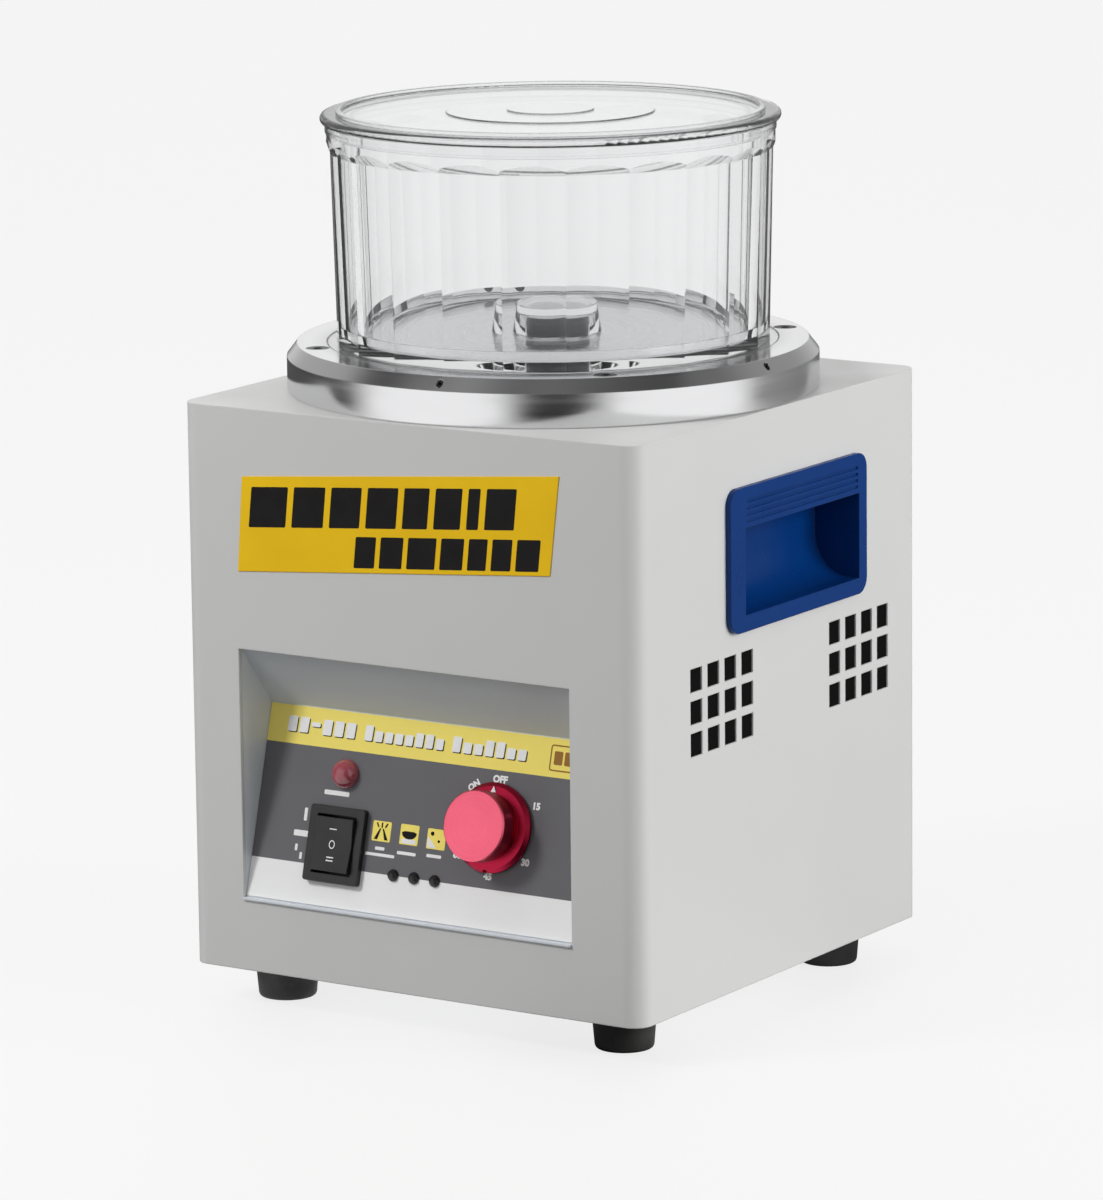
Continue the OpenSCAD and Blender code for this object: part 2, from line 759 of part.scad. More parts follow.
module motor_screws()
    color([0.6, 0.6, 0.62]) at_motor_screws() translate([0, 0, plate_z])
        pan_screw(motor_screw_r, 9, case_head_r, 2.4);

module motor_cap_top()
    color([0.60, 0.61, 0.63]) difference() {
        union() {
            translate([0, 0, motor_top - cap_t]) cylinder(r = motor_r, h = cap_t);
            translate([0, 0, motor_top - cap_t - 4]) cylinder(r = bearing_r + 4, h = 4 + eps);
        }
        translate([0, 0, motor_top - 30]) cylinder(r = shaft_r + 2, h = 40);
        translate([0, 0, motor_top - cap_t - 4 - eps]) cylinder(r = bearing_r, h = bearing_w + eps);
        translate([0, 0, motor_top - 7]) at_motor_screws() cylinder(r = motor_screw_r, h = 8);
    }

module motor_can()
    color([0.25, 0.27, 0.30]) difference() {
        translate([0, 0, motor_z0 + cap_t]) cylinder(r = motor_r, h = motor_l - 2 * cap_t);
        translate([0, 0, motor_z0]) cylinder(r = motor_r - can_t, h = motor_l);
    }

module motor_cap_bottom()
    color([0.60, 0.61, 0.63]) difference() {
        union() {
            translate([0, 0, motor_z0]) cylinder(r = motor_r, h = cap_t);
            translate([0, 0, motor_z0 + cap_t - eps]) cylinder(r = bearing_r + 4, h = 4 + eps);
        }
        translate([0, 0, motor_z0 - eps]) cylinder(r = shaft_r + 2, h = 30);
        translate([0, 0, motor_z0 + cap_t + 4 - bearing_w]) cylinder(r = bearing_r, h = bearing_w + eps);
        translate([0, 0, motor_z0 - eps]) for (a = [0 : 30 : 330])
            rotate([0, 0, a]) translate([motor_r - 20, 0, 0]) cylinder(r = 4, h = cap_t + 2 * eps);
    }

module stator_core()
    color([0.45, 0.46, 0.50]) difference() {
        translate([0, 0, core_z0]) cylinder(r = motor_r - can_t, h = core_h);
        translate([0, 0, core_z0 - eps]) cylinder(r = core_bore_r, h = core_h + 2 * eps);
    }

module stator_windings()
    color([0.72, 0.42, 0.22]) for (z = [core_z0 - winding_r, core_z0 + core_h + winding_r])
        translate([0, 0, z]) rotate_extrude() translate([winding_pcr, 0]) circle(winding_r);

module motor_rotor()
    color([0.50, 0.51, 0.54]) difference() {
        translate([0, 0, core_z0]) cylinder(r = rotor_r, h = core_h);
        translate([0, 0, core_z0 - eps]) cylinder(r = shaft_r, h = core_h + 2 * eps);
    }

module motor_shaft()
    color([0.75, 0.76, 0.78]) translate([0, 0, motor_z0 - shaft_below])
        cylinder(r = shaft_r, h = disc_z0 + 6 - motor_z0 + shaft_below);

module bearing(z0)
    color([0.80, 0.80, 0.82]) difference() {
        translate([0, 0, z0]) cylinder(r = bearing_r, h = bearing_w);
        translate([0, 0, z0 - eps]) cylinder(r = shaft_r + run_gap, h = bearing_w + 2 * eps);
        for (z = [z0 - eps, z0 + bearing_w - 0.6]) translate([0, 0, z]) difference() {
            cylinder(r = 13, h = eps + 0.6);
            translate([0, 0, -eps]) cylinder(r = 9, h = 4);
        }
    }
module bearing_upper() bearing(motor_top - cap_t - 4);
module bearing_lower() bearing(motor_z0 + cap_t + 4 - bearing_w);

module at_magnets()
    for (i = [0 : magnet_n - 1])
        rotate([0, 0, i * 360 / magnet_n]) translate([magnet_pcr, 0, 0]) children();

module magnet_disc()
    color([0.70, 0.72, 0.74]) difference() {
        union() {
            translate([0, 0, disc_z0]) cylinder(r = disc_r, h = disc_t);
            translate([0, 0, disc_z0 - hub_len]) cylinder(r = 15, h = hub_len + eps);
        }
        translate([0, 0, disc_z0 - hub_len - eps]) cylinder(r = shaft_r, h = 60);
        translate([0, 0, disc_z0 + 2]) at_magnets() cylinder(r = magnet_r, h = 20);
        translate([0, 0, disc_z0 - hub_len + 5]) rotate([0, 90, 0]) cylinder(r = 2, h = 30);
    }

module magnets()
    color([0.35, 0.36, 0.38]) translate([0, 0, disc_z0 + 2])
        at_magnets() cylinder(r = magnet_r, h = magnet_h);

module hub_set_screw()
    color([0.2, 0.2, 0.2]) translate([shaft_r, 0, disc_z0 - hub_len + 5])
        rotate([0, 90, 0]) cylinder(r = 2, h = 8);

module cooling_fan()
    color([0.15, 0.15, 0.16]) translate([0, 0, motor_z0 - 16]) difference() {
        union() {
            cylinder(r = 13, h = fan_h);
            for (i = [0 : fan_blades - 1]) rotate([0, 0, i * 360 / fan_blades])
                translate([12, 0, fan_h / 2]) rotate([35, 0, 0]) translate([0, -1, -fan_h / 2 + 1])
                    cube([fan_r - 12, 2, fan_h - 2]);
        }
        translate([0, 0, -eps]) cylinder(r = shaft_r, h = fan_h + 2 * eps);
    }

// ---------- mains inlet ----------

module at_inlet_screws()
    for (sx = [-1, 1])
        translate([inlet_x + sx * 20, rear_face + inlet_t, inlet_z]) rotate([-90, 0, 0]) children();

module mains_inlet()
    color([0.06, 0.06, 0.06]) difference() {
        union() {
            along_y(rear_face, rear_face + inlet_t)
                translate([inlet_x, inlet_z]) rounded_rect(inlet_w, inlet_h, 4);
            translate([inlet_x - inlet_body_w / 2, rear_face - inlet_depth, inlet_z - inlet_body_h / 2])
                cube([inlet_body_w, inlet_depth, inlet_body_h]);
        }
        translate([inlet_x - socket_w / 2, rear_face + inlet_t - socket_depth, socket_z - socket_h / 2])
            cube([socket_w, socket_depth + eps, socket_h]);
        translate([inlet_x - drawer_w / 2, rear_face + inlet_t - drawer_depth, drawer_z - drawer_h / 2])
            cube([drawer_w, drawer_depth + eps, drawer_h]);
        at_inlet_screws() cylinder(r = 1.6, h = 20, center = true);
    }

module inlet_pins()
    color([0.78, 0.78, 0.76]) for (p = [[-7, -6], [0, -3], [7, -6]])
        translate([inlet_x + p[0] - 1, rear_face + inlet_t - socket_depth, inlet_z + p[1] - 2])
            cube([2, socket_depth - 2, 4]);

module inlet_screws()
    color([0.6, 0.6, 0.62]) at_inlet_screws() pan_screw(1.5, 9, 2.8, 1);

module fuse_drawer()
    color([0.09, 0.09, 0.09]) translate([inlet_x, rear_face + inlet_t, drawer_z]) difference() {
        union() {
            translate([-9.7, -drawer_depth + 0.4, -4.2]) cube([19.4, drawer_depth - 0.4, 8.4]);
            translate([-3, -0.2, -4.2]) cube([6, 1.2, 2.4]);
        }
        translate([-3.2, -drawer_depth - eps, -3]) cube([6.4, drawer_depth - 3 + eps, 8]);
    }

module fuse()
    color([0.80, 0.80, 0.78]) translate([inlet_x, rear_face + inlet_t - drawer_depth + 0.6, drawer_z - 0.2])
        rotate([-90, 0, 0]) cylinder(r = 2.6, h = 15);

// ---------- electronics ----------

module control_board()
    color([0.10, 0.35, 0.18]) difference() {
        translate([board_at[0], board_at[1], board_z]) cube([board_w, board_d, board_t]);
        at_board_holes() cylinder(r = 1.6, h = 20);
    }

module at_board_holes()
    for (x = [5, board_w - 5], y = [5, board_d - 5])
        translate([board_at[0] + x, board_at[1] + y, board_z - 9]) children();

module board_standoffs()
    color([0.80, 0.72, 0.40]) {
        at_board_holes() translate([0, 0, -1]) cylinder(r = 3, h = 10, $fn = 6);
        at_board_holes() cylinder(r = 1.5, h = 12.6);
    }

module board_components()
    color([0.15, 0.25, 0.40]) translate([board_at[0], board_at[1], board_z + board_t]) {
        translate([16, 14, 0]) cube([28, 34, 24]);
        translate([52, 40, 0]) cube([20, 15, 16]);
        translate([52, 22, 0]) cylinder(r = 6, h = 18);
        translate([68, 22, 0]) cylinder(r = 5, h = 14);
        translate([52, 4, 0]) cube([30, 9, 11]);
    }

module run_capacitor()
    color([0.75, 0.75, 0.76]) translate([cap_at[0], cap_at[1], foot_h + base_t + 2 + cap_can_r])
        rotate([-90, 0, 0]) cylinder(r = cap_can_r, h = cap_can_l);

module capacitor_clip()
    color([0.65, 0.65, 0.67]) translate([cap_at[0], cap_at[1] + 20, foot_h + base_t]) {
        translate([-28, 0, 0]) cube([56, 18, 2]);
        difference() {
            translate([0, 0, 2 + cap_can_r]) rotate([-90, 0, 0]) cylinder(r = cap_can_r + 1.5, h = 18);
            translate([0, -eps, 2 + cap_can_r]) rotate([-90, 0, 0]) cylinder(r = cap_can_r, h = 20);
            translate([-30, -eps, -10]) cube([60, 20, 10.5]);
        }
    }

// Leads from the inlet to the switch, the switch to the timer, the timer to the board
// and the board to the motor.
module wiring_harness()
    color([0.10, 0.10, 0.12]) {
        wire([
            [inlet_x, rear_face - inlet_depth, socket_z], [inlet_x, 84, socket_z], [-92, 70, 40],
            [-92, -50, 40], panel_point(-48, 27, -40), panel_point(-48, 27, overlay_t - switch_depth)
        ]);
        wire([
            panel_point(-38, 32, overlay_t - switch_depth), panel_point(-38, 32, -36),
            panel_point(25, 50, -42), panel_point(25, 50, -tray_t - timer_depth)
        ]);
        wire([
            panel_point(45, 35, -tray_t - timer_depth), panel_point(45, 35, -42),
            [5, 0, 70], [5, board_at[1] + 8, 60], [5, board_at[1] + 8, board_z + board_t + 11]
        ]);
        wire([
            [-8, board_at[1] + 8, board_z + board_t + 11], [-8, board_at[1] + 8, 80],
            [-8, 58, 105], [-8, 47, 130], [-8, 47, motor_z0]
        ]);
    }

housing_shell();
rear_panel();
base_plate();
foot_front_left();
foot_front_right();
foot_rear_left();
foot_rear_right();
foot_screws();
foot_nuts();
base_screws();
rear_panel_screws();
control_panel();
panel_overlay();
front_label();
switch_body();
switch_rocker();
power_lamp();
lamp_body();
status_leds();
timer_body();
timer_spindle();
timer_knob();
knob_set_screw();
handle_left();
handle_right();
bowl_ring();
deck_plate();
centre_boss();
ring_screws();
ring_nuts();
ring_grub_screws();
motor_plate();
motor_spacers();
motor_screws();
motor_cap_top();
motor_can();
motor_cap_bottom();
stator_core();
stator_windings();
motor_rotor();
motor_shaft();
bearing_upper();
bearing_lower();
magnet_disc();
magnets();
hub_set_screw();
cooling_fan();
bowl();
lid();
mains_inlet();
inlet_pins();
inlet_screws();
fuse_drawer();
fuse();
control_board();
board_components();
board_standoffs();
run_capacitor();
capacitor_clip();
wiring_harness();
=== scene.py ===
"""Looks of a bench-top magnetic tumbler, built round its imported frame.

Metres, +Z up, the controls face -Y. The origin is on the floor, on the axis of the bowl.
"""

import json
from math import atan, cos, pi, radians, sin

import bmesh
import bpy
from mathutils import Matrix, Vector


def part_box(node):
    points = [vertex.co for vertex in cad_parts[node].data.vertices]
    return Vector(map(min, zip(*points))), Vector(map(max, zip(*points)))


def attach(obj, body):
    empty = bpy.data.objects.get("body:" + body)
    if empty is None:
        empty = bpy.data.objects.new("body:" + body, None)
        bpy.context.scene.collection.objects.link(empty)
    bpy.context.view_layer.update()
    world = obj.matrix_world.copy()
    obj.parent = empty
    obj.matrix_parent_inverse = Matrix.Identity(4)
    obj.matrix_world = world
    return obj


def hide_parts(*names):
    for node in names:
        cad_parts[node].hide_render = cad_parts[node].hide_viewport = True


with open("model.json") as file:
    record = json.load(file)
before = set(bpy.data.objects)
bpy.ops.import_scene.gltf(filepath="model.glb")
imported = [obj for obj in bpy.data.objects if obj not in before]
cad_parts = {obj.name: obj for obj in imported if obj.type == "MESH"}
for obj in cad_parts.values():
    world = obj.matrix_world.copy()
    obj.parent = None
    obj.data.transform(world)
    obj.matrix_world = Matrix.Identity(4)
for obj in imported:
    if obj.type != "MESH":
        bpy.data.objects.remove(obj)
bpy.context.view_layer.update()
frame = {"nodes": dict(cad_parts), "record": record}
NODES = frame["nodes"]
SUBPARTS = frame["record"]["subparts"]
scene = bpy.context.scene

# ---------- camera, light and floor ----------

CAMERA_AT = Vector((1.5499, -2.3945, 0.7368))
CAMERA_TURN = radians(32.954)
CAMERA_RISE = radians(11.247)
CAMERA_ROLL = radians(-0.673)
LENS_MM = 200.0

# The backdrop is pale at eye level and dimmer above, between these two upward slopes.
PALE = 0.92
DIM_ABOVE = 0.74
DIM_FROM = 0.02
DIM_TO = 0.20
# Light on plain surfaces, from all round.
EVEN = (0.50, 0.50, 0.505, 1)
# Share of the backdrop that is mirrored inside clear parts, in place of the studio's walls.
MIRRORED_INSIDE = 0.55
# The walls give way to the ceiling between these two upward slopes.
CEILING_FROM = 0.55
CEILING_TO = 0.8

# Greys that shiny surfaces mirror, by compass bearing from the camera's side, in degrees.
SIDE_WALLS = [(-96, 0.08), (-80, 1.0), (-24, 1.0), (-11, 0.02), (13, 0.02), (27, 1.0), (84, 1.0), (96, 0.28)]
FAR_LEFT = [(-180, 0.95), (-158, 0.6), (-148, 0.42), (-118, 0.38), (-106, 0.08)]
WALLS = [*FAR_LEFT, *SIDE_WALLS, (140, 0.3), (165, 0.6), (180, 0.95)]
LOW_WALLS = [(-180, 0.10), (-130, 0.06), *SIDE_WALLS, (140, 0.2), (180, 0.10)]
CEILING_LEFT = [(-180, 0.35), (-125, 0.38), (-112, 0.06), (-92, 0.04), (-78, 0.18), (-60, 0.28), (-30, 0.12)]
CEILING_RIGHT = [(0, 0.15), (45, 0.09), (85, 0.04), (104, 0.05), (112, 0.16), (119, 0.05)]
CEILING_FAR = [(128, 0.24), (135, 0.09), (145, 0.32), (180, 0.35)]
CEILING = [*CEILING_LEFT, *CEILING_RIGHT, *CEILING_FAR]


def add_camera():
    back = Vector(
        (sin(CAMERA_TURN) * cos(CAMERA_RISE), -cos(CAMERA_TURN) * cos(CAMERA_RISE), sin(CAMERA_RISE))
    )
    level = Vector((cos(CAMERA_TURN), sin(CAMERA_TURN), 0))
    upright = back.cross(level)
    right = cos(CAMERA_ROLL) * level + sin(CAMERA_ROLL) * upright
    up = cos(CAMERA_ROLL) * upright - sin(CAMERA_ROLL) * level
    data = bpy.data.cameras.new("camera")
    data.lens = LENS_MM
    data.clip_start = 0.05
    data.clip_end = 60
    camera = bpy.data.objects.new("camera", data)
    scene.collection.objects.link(camera)
    camera.matrix_world = Matrix.Translation(CAMERA_AT) @ Matrix((right, up, back)).transposed().to_4x4()
    scene.camera = camera


def area_light(name, at, aim, size, power, tint=(1, 1, 1)):
    data = bpy.data.lights.new(name, "AREA")
    data.shape = "RECTANGLE"
    data.size, data.size_y = size
    data.energy = power
    data.color = tint
    lamp = bpy.data.objects.new(name, data)
    scene.collection.objects.link(lamp)
    lamp.location = at
    lamp.rotation_euler = (Vector(aim) - Vector(at)).to_track_quat("-Z", "Y").to_euler()
    lamp.visible_glossy = False
    lamp.visible_transmission = False
    return lamp


def studio_walls(tree, direction, stops):
    """Grey of the studio by compass bearing, for a direction seen from the object."""
    new = tree.nodes.new
    link = tree.links.new
    parts = []
    for axis in ((cos(CAMERA_TURN), sin(CAMERA_TURN), 0), (sin(CAMERA_TURN), -cos(CAMERA_TURN), 0)):
        dot = new("ShaderNodeVectorMath")
        dot.operation = "DOT_PRODUCT"
        dot.inputs[1].default_value = axis
        link(direction, dot.inputs[0])
        parts.append(dot.outputs["Value"])
    bearing = new("ShaderNodeMath")
    bearing.operation = "ARCTAN2"
    link(parts[0], bearing.inputs[0])
    link(parts[1], bearing.inputs[1])
    share = new("ShaderNodeMath")
    share.operation = "MULTIPLY_ADD"
    share.inputs[1].default_value = 0.5 / pi
    share.inputs[2].default_value = 0.5
    link(bearing.outputs[0], share.inputs[0])
    ramp = new("ShaderNodeValToRGB")
    fill_ramp(ramp, [((degrees + 180) / 360, grey) for degrees, grey in stops])
    link(share.outputs[0], ramp.inputs[0])
    return ramp.outputs["Color"]


def maths_node(tree, operation, a, b):
    """A maths node whose inputs are a socket and either a socket or a value."""
    made = tree.nodes.new("ShaderNodeMath")
    made.operation = operation
    for socket, value in zip(made.inputs, (a, b)):
        if isinstance(value, bpy.types.NodeSocket):
            tree.links.new(value, socket)
        else:
            socket.default_value = value
    return made.outputs[0]


def seen_directly(tree):
    """1 for what the camera sees, straight or through the clear bowl, and part of it mirrored in there."""
    path = tree.nodes.new("ShaderNodeLightPath")
    entered = maths_node(tree, "MINIMUM", path.outputs["Transmission Depth"], 1.0)
    inside = maths_node(tree, "MULTIPLY", entered, MIRRORED_INSIDE)
    direct = maths_node(tree, "MAXIMUM", path.outputs["Is Camera Ray"], path.outputs["Is Transmission Ray"])
    return maths_node(tree, "MAXIMUM", direct, inside)


def add_world():
    """Even light for plain surfaces, studio walls for shiny ones and a plain pale backdrop for the camera."""
    world = bpy.data.worlds.new("studio")
    scene.world = world
    world.use_nodes = True
    tree = world.node_tree
    tree.nodes.clear()
    new = tree.nodes.new
    link = tree.links.new
    place = new("ShaderNodeTexCoord")
    split = new("ShaderNodeSeparateXYZ")
    link(place.outputs["Generated"], split.inputs[0])
    ceiling = new("ShaderNodeMapRange")
    ceiling.inputs["From Min"].default_value = CEILING_FROM
    ceiling.inputs["From Max"].default_value = CEILING_TO
    link(split.outputs["Z"], ceiling.inputs["Value"])
    blend = new("ShaderNodeMix")
    blend.data_type = "RGBA"
    link(studio_walls(tree, place.outputs["Generated"], CEILING), blend.inputs[7])
    link(ceiling.outputs[0], blend.inputs[0])
    link(studio_walls(tree, place.outputs["Generated"], WALLS), blend.inputs[6])
    mirrored = new("ShaderNodeBackground")
    link(blend.outputs[2], mirrored.inputs["Color"])
    even = new("ShaderNodeBackground")
    even.inputs["Color"].default_value = EVEN
    plain = new("ShaderNodeBackground")
    overhead = new("ShaderNodeMapRange")
    overhead.inputs["From Min"].default_value = DIM_FROM
    overhead.inputs["From Max"].default_value = DIM_TO
    overhead.inputs["To Min"].default_value = PALE
    overhead.inputs["To Max"].default_value = DIM_ABOVE
    link(split.outputs["Z"], overhead.inputs["Value"])
    link(overhead.outputs[0], plain.inputs["Color"])
    path = new("ShaderNodeLightPath")
    bounced = new("ShaderNodeMixShader")
    link(path.outputs["Is Diffuse Ray"], bounced.inputs[0])
    link(mirrored.outputs[0], bounced.inputs[1])
    link(even.outputs[0], bounced.inputs[2])
    choose = new("ShaderNodeMixShader")
    link(seen_directly(tree), choose.inputs[0])
    link(bounced.outputs[0], choose.inputs[1])
    link(plain.outputs[0], choose.inputs[2])
    out = new("ShaderNodeOutputWorld")
    link(choose.outputs[0], out.inputs["Surface"])


def fill_ramp(node, stops, constant=False):
    """stops are (position, grey or colour) in rising order."""
    ramp = node.color_ramp
    if constant:
        ramp.interpolation = "CONSTANT"
    while len(ramp.elements) < len(stops):
        ramp.elements.new(0.5)
    for element, (position, value) in zip(ramp.elements, stops):
        element.position = position
        colour = value if isinstance(value, tuple) else (value, value, value)
        element.color = (*colour[:3], 1)


add_camera()
add_world()
area_light("key_right", (2.6, 0.5, 0.85), (0.1, 0, 0.2), (1.6, 1.4), 57)
area_light("fill_left", (-0.85, -1.25, 1.3), (0, 0, 0.25), (0.35, 0.4), 17)
area_light("overhead", (-0.5, 0.2, 2.6), (0, 0, 0.3), (1.6, 1.6), 9)
scene.view_settings.view_transform = "Standard"
scene.cycles.max_bounces = 24
scene.cycles.transmission_bounces = 20

# ---------- shader building ----------


class Shader:
    """A principled material with short ways to add the usual procedural detail."""

    def __init__(self, name, rough=0.5, metal=0.0, **sockets):
        self.material = bpy.data.materials.new(name)
        self.material.use_nodes = True
        self.tree = self.material.node_tree
        self.bsdf = next(n for n in self.tree.nodes if n.type == "BSDF_PRINCIPLED")
        self.bsdf.inputs["Roughness"].default_value = rough
        self.bsdf.inputs["Metallic"].default_value = metal
        for label, value in sockets.items():
            self.bsdf.inputs[label.replace("_", " ")].default_value = value
        self.place = self.node("ShaderNodeTexCoord").outputs["Object"]

    def node(self, kind, **settings):
        made = self.tree.nodes.new(kind)
        for key, value in settings.items():
            setattr(made, key, value)
        return made

    def feed(self, socket, value):
        if isinstance(value, bpy.types.NodeSocket):
            self.tree.links.new(value, socket)
        else:
            socket.default_value = value

    def maths(self, operation, a, b=0.0, c=0.0, clamp=False):
        made = self.node("ShaderNodeMath", operation=operation, use_clamp=clamp)
        for socket, value in zip(made.inputs, (a, b, c)):
            self.feed(socket, value)
        return made.outputs[0]

    def vector(self, operation, a, b, out="Vector"):
        made = self.node("ShaderNodeVectorMath", operation=operation)
        self.feed(made.inputs[0], a)
        self.feed(made.inputs[1], b)
        return made.outputs[out]

    def noise(self, scale, detail=2.0, place=None, stretch=None, distortion=0.0):
        source = place or self.place
        if stretch:
            source = self.vector("MULTIPLY", source, stretch)
        made = self.node("ShaderNodeTexNoise")
        self.feed(made.inputs["Vector"], source)
        made.inputs["Scale"].default_value = scale
        made.inputs["Detail"].default_value = detail
        made.inputs["Distortion"].default_value = distortion
        return made.outputs[0]

    def remap(self, value, low, high, to_low, to_high):
        made = self.node("ShaderNodeMapRange")
        for socket, entry in zip(made.inputs, (value, low, high, to_low, to_high)):
            self.feed(socket, entry)
        return made.outputs[0]

    def mix(self, share, a, b):
        made = self.node("ShaderNodeMix", data_type="RGBA")
        self.feed(made.inputs[0], share)
        self.feed(made.inputs[6], (*a[:3], 1) if isinstance(a, tuple) else a)
        self.feed(made.inputs[7], (*b[:3], 1) if isinstance(b, tuple) else b)
        return made.outputs[2]

    def rounded(self, radius):
        made = self.node("ShaderNodeBevel", samples=4)
        made.inputs["Radius"].default_value = radius
        return made.outputs[0]

    def edge(self, radius, breakup=60.0):
        """1 on sharp outer edges, broken up by noise, 0 on open faces."""
        plain = self.node("ShaderNodeNewGeometry").outputs["Normal"]
        turn = self.vector("DOT_PRODUCT", self.rounded(radius), plain, out="Value")
        sharp = self.remap(turn, 0.985, 0.80, 0.0, 1.0)
        return self.maths("MULTIPLY", sharp, self.remap(self.noise(breakup), 0.42, 0.62, 0.0, 1.0))

    def bump(self, height, distance, strength=1.0, normal=None):
        made = self.node("ShaderNodeBump")
        made.inputs["Strength"].default_value = strength
        made.inputs["Distance"].default_value = distance
        self.feed(made.inputs["Height"], height)
        if normal:
            self.feed(made.inputs["Normal"], normal)
        return made.outputs[0]

    def finish(self, colour=None, rough=None, normal=None):
        if colour is not None:
            self.feed(self.bsdf.inputs["Base Color"], colour)
        if rough is not None:
            self.feed(self.bsdf.inputs["Roughness"], rough)
        if normal is not None:
            self.feed(self.bsdf.inputs["Normal"], normal)
        return self.material


def shade(colour, factor):
    """The colour made darker or lighter by a factor."""
    return tuple(min(1.0, c * factor) for c in colour)


def painted(name, colour, rough=0.42, grain=0.00004, edge_radius=0.0009, worn=0.25):
    """Powder coat: fine orange peel, faint mottling, and paler edges that are partly wear and partly a
    painted highlight.
    """
    s = Shader(name, rough)
    mottled = s.mix(s.noise(7, 3), shade(colour, 0.975), shade(colour, 1.02))
    # Sharp edges made paler by the worn share: wear together with a painted highlight along the edges.
    rubbed_and_highlit = s.maths("MULTIPLY", s.edge(edge_radius), worn)
    peel = s.bump(s.noise(850, 2), grain, 0.7, s.rounded(edge_radius))
    uneven = s.remap(s.noise(38, 4), 0.3, 0.7, rough - 0.06, rough + 0.08)
    return s.finish(s.mix(rubbed_and_highlit, mottled, shade(colour, 1.25)), uneven, peel)


def plastic(name, colour, rough=0.4, grain=0.00003, scale=1100, edge_radius=0.0006, worn=0.35, **sockets):
    """Moulded plastic: fine spark-eroded grain, handling marks, and paler edges that are partly wear and
    partly a painted highlight.
    """
    s = Shader(name, rough, **sockets)
    cloudy = s.mix(s.noise(24, 4), shade(colour, 0.86), shade(colour, 1.12))
    # Sharp edges made paler by the worn share: wear together with a painted highlight along the edges.
    rubbed_and_highlit = s.maths("MULTIPLY", s.edge(edge_radius, 140), worn)
    pale = tuple(c + (0.35 - c) * 0.3 if c < 0.35 else c for c in colour)
    grainy = s.bump(s.noise(scale, 2), grain, 0.6, s.rounded(edge_radius))
    handled = s.remap(s.noise(70, 5), 0.3, 0.7, rough - 0.08, rough + 0.1)
    return s.finish(s.mix(rubbed_and_highlit, cloudy, pale), handled, grainy)


def metal(name, colour, rough=0.3, stretch=(60, 60, 2600), depth=0.000012, edge_radius=0.0004):
    """Rolled or ground metal: directional scratches and uneven tarnish."""
    s = Shader(name, rough, 1.0)
    lines = s.noise(1, 3, stretch=stretch)
    cloudy = s.mix(s.noise(18, 4), shade(colour, 0.88), shade(colour, 1.08))
    scored = s.bump(lines, depth, 0.5, s.rounded(edge_radius))
    return s.finish(cloudy, s.remap(s.noise(45, 4), 0.3, 0.7, rough - 0.07, rough + 0.12), scored)


def axis_distance(s, centre, axis):
    """Distance from an axis, and the way along it from its centre."""
    offset = s.vector("SUBTRACT", s.place, tuple(centre))
    turned = s.vector("CROSS_PRODUCT", offset, tuple(axis))
    radius = s.vector("LENGTH", turned, (0, 0, 0), out="Value")
    return radius, s.vector("DOT_PRODUCT", offset, tuple(axis), out="Value")


def turned(name, colour, centre, axis, rough=0.24, pitch=2600, depth=0.00001, around=False):
    """Lathe-turned metal: fine grooves that run round the axis."""
    s = Shader(name, rough, 1.0)
    radius, along = axis_distance(s, centre, axis)
    both = s.node("ShaderNodeCombineXYZ")
    s.feed(both.inputs[0], s.maths("MULTIPLY", radius, pitch))
    s.feed(both.inputs[1], s.maths("MULTIPLY", along, pitch))
    grooves = s.noise(1, 3, place=both.outputs[0])
    bands = s.noise(0.04, 2, place=both.outputs[0])
    tone = s.mix(bands, shade(colour, 0.93), shade(colour, 1.05))
    if around:
        s.bsdf.inputs["Anisotropic"].default_value = 0.72
        tangent = s.node("ShaderNodeTangent", direction_type="RADIAL", axis="Z")
        s.feed(s.bsdf.inputs["Tangent"], tangent.outputs[0])
    scored = s.bump(grooves, depth, 0.5, s.rounded(0.0005))
    return s.finish(tone, s.remap(bands, 0.3, 0.7, rough - 0.05, rough + 0.08), scored)


CLARITY = 0.99


def clear(name, colour, rough=0.0):
    """Clear moulded plastic with faint flow lines and light scuffs, which lets the lamps' light through."""
    s = Shader(name, rough, Transmission_Weight=CLARITY, IOR=1.49, Specular_Tint=(0.35, 0.35, 0.35, 1))
    scuffs = s.noise(30, 5, stretch=(1, 1, 0.35))
    flow = s.bump(s.noise(14, 2, stretch=(1, 1, 0.3)), 0.00008, 0.3, s.rounded(0.0006))
    made = s.finish((*colour, 1), s.remap(scuffs, 0.55, 0.85, rough, rough + 0.04), flow)
    through = s.node("ShaderNodeBsdfTransparent")
    through.inputs["Color"].default_value = (*colour, 1)
    lamps = s.node("ShaderNodeMixShader")
    s.feed(lamps.inputs[0], s.node("ShaderNodeLightPath").outputs["Is Shadow Ray"])
    s.feed(lamps.inputs[1], s.bsdf.outputs[0])
    s.feed(lamps.inputs[2], through.outputs[0])
    s.feed(next(n for n in s.tree.nodes if n.type == "OUTPUT_MATERIAL").inputs["Surface"], lamps.outputs[0])
    return made


# ---------- panel frame ----------

PANEL_LEAN = radians(15)
OVERLAY_T = 0.0005
PANEL_TRIM = 0.0004
PANEL_LEN = 0.085
overlay_lo, overlay_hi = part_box("panel_overlay")
PANEL_RIGHT = Vector((1, 0, 0))
PANEL_UP = Vector((0, sin(PANEL_LEAN), cos(PANEL_LEAN)))
PANEL_OUT = Vector((0, -cos(PANEL_LEAN), sin(PANEL_LEAN)))
PANEL_ORIGIN = Vector((0, overlay_lo.y + OVERLAY_T * cos(PANEL_LEAN), overlay_lo.z)) - PANEL_TRIM * PANEL_UP
SWITCH_AT = (-0.043, 0.0272)
KNOB_AT = (0.0349, 0.0436)


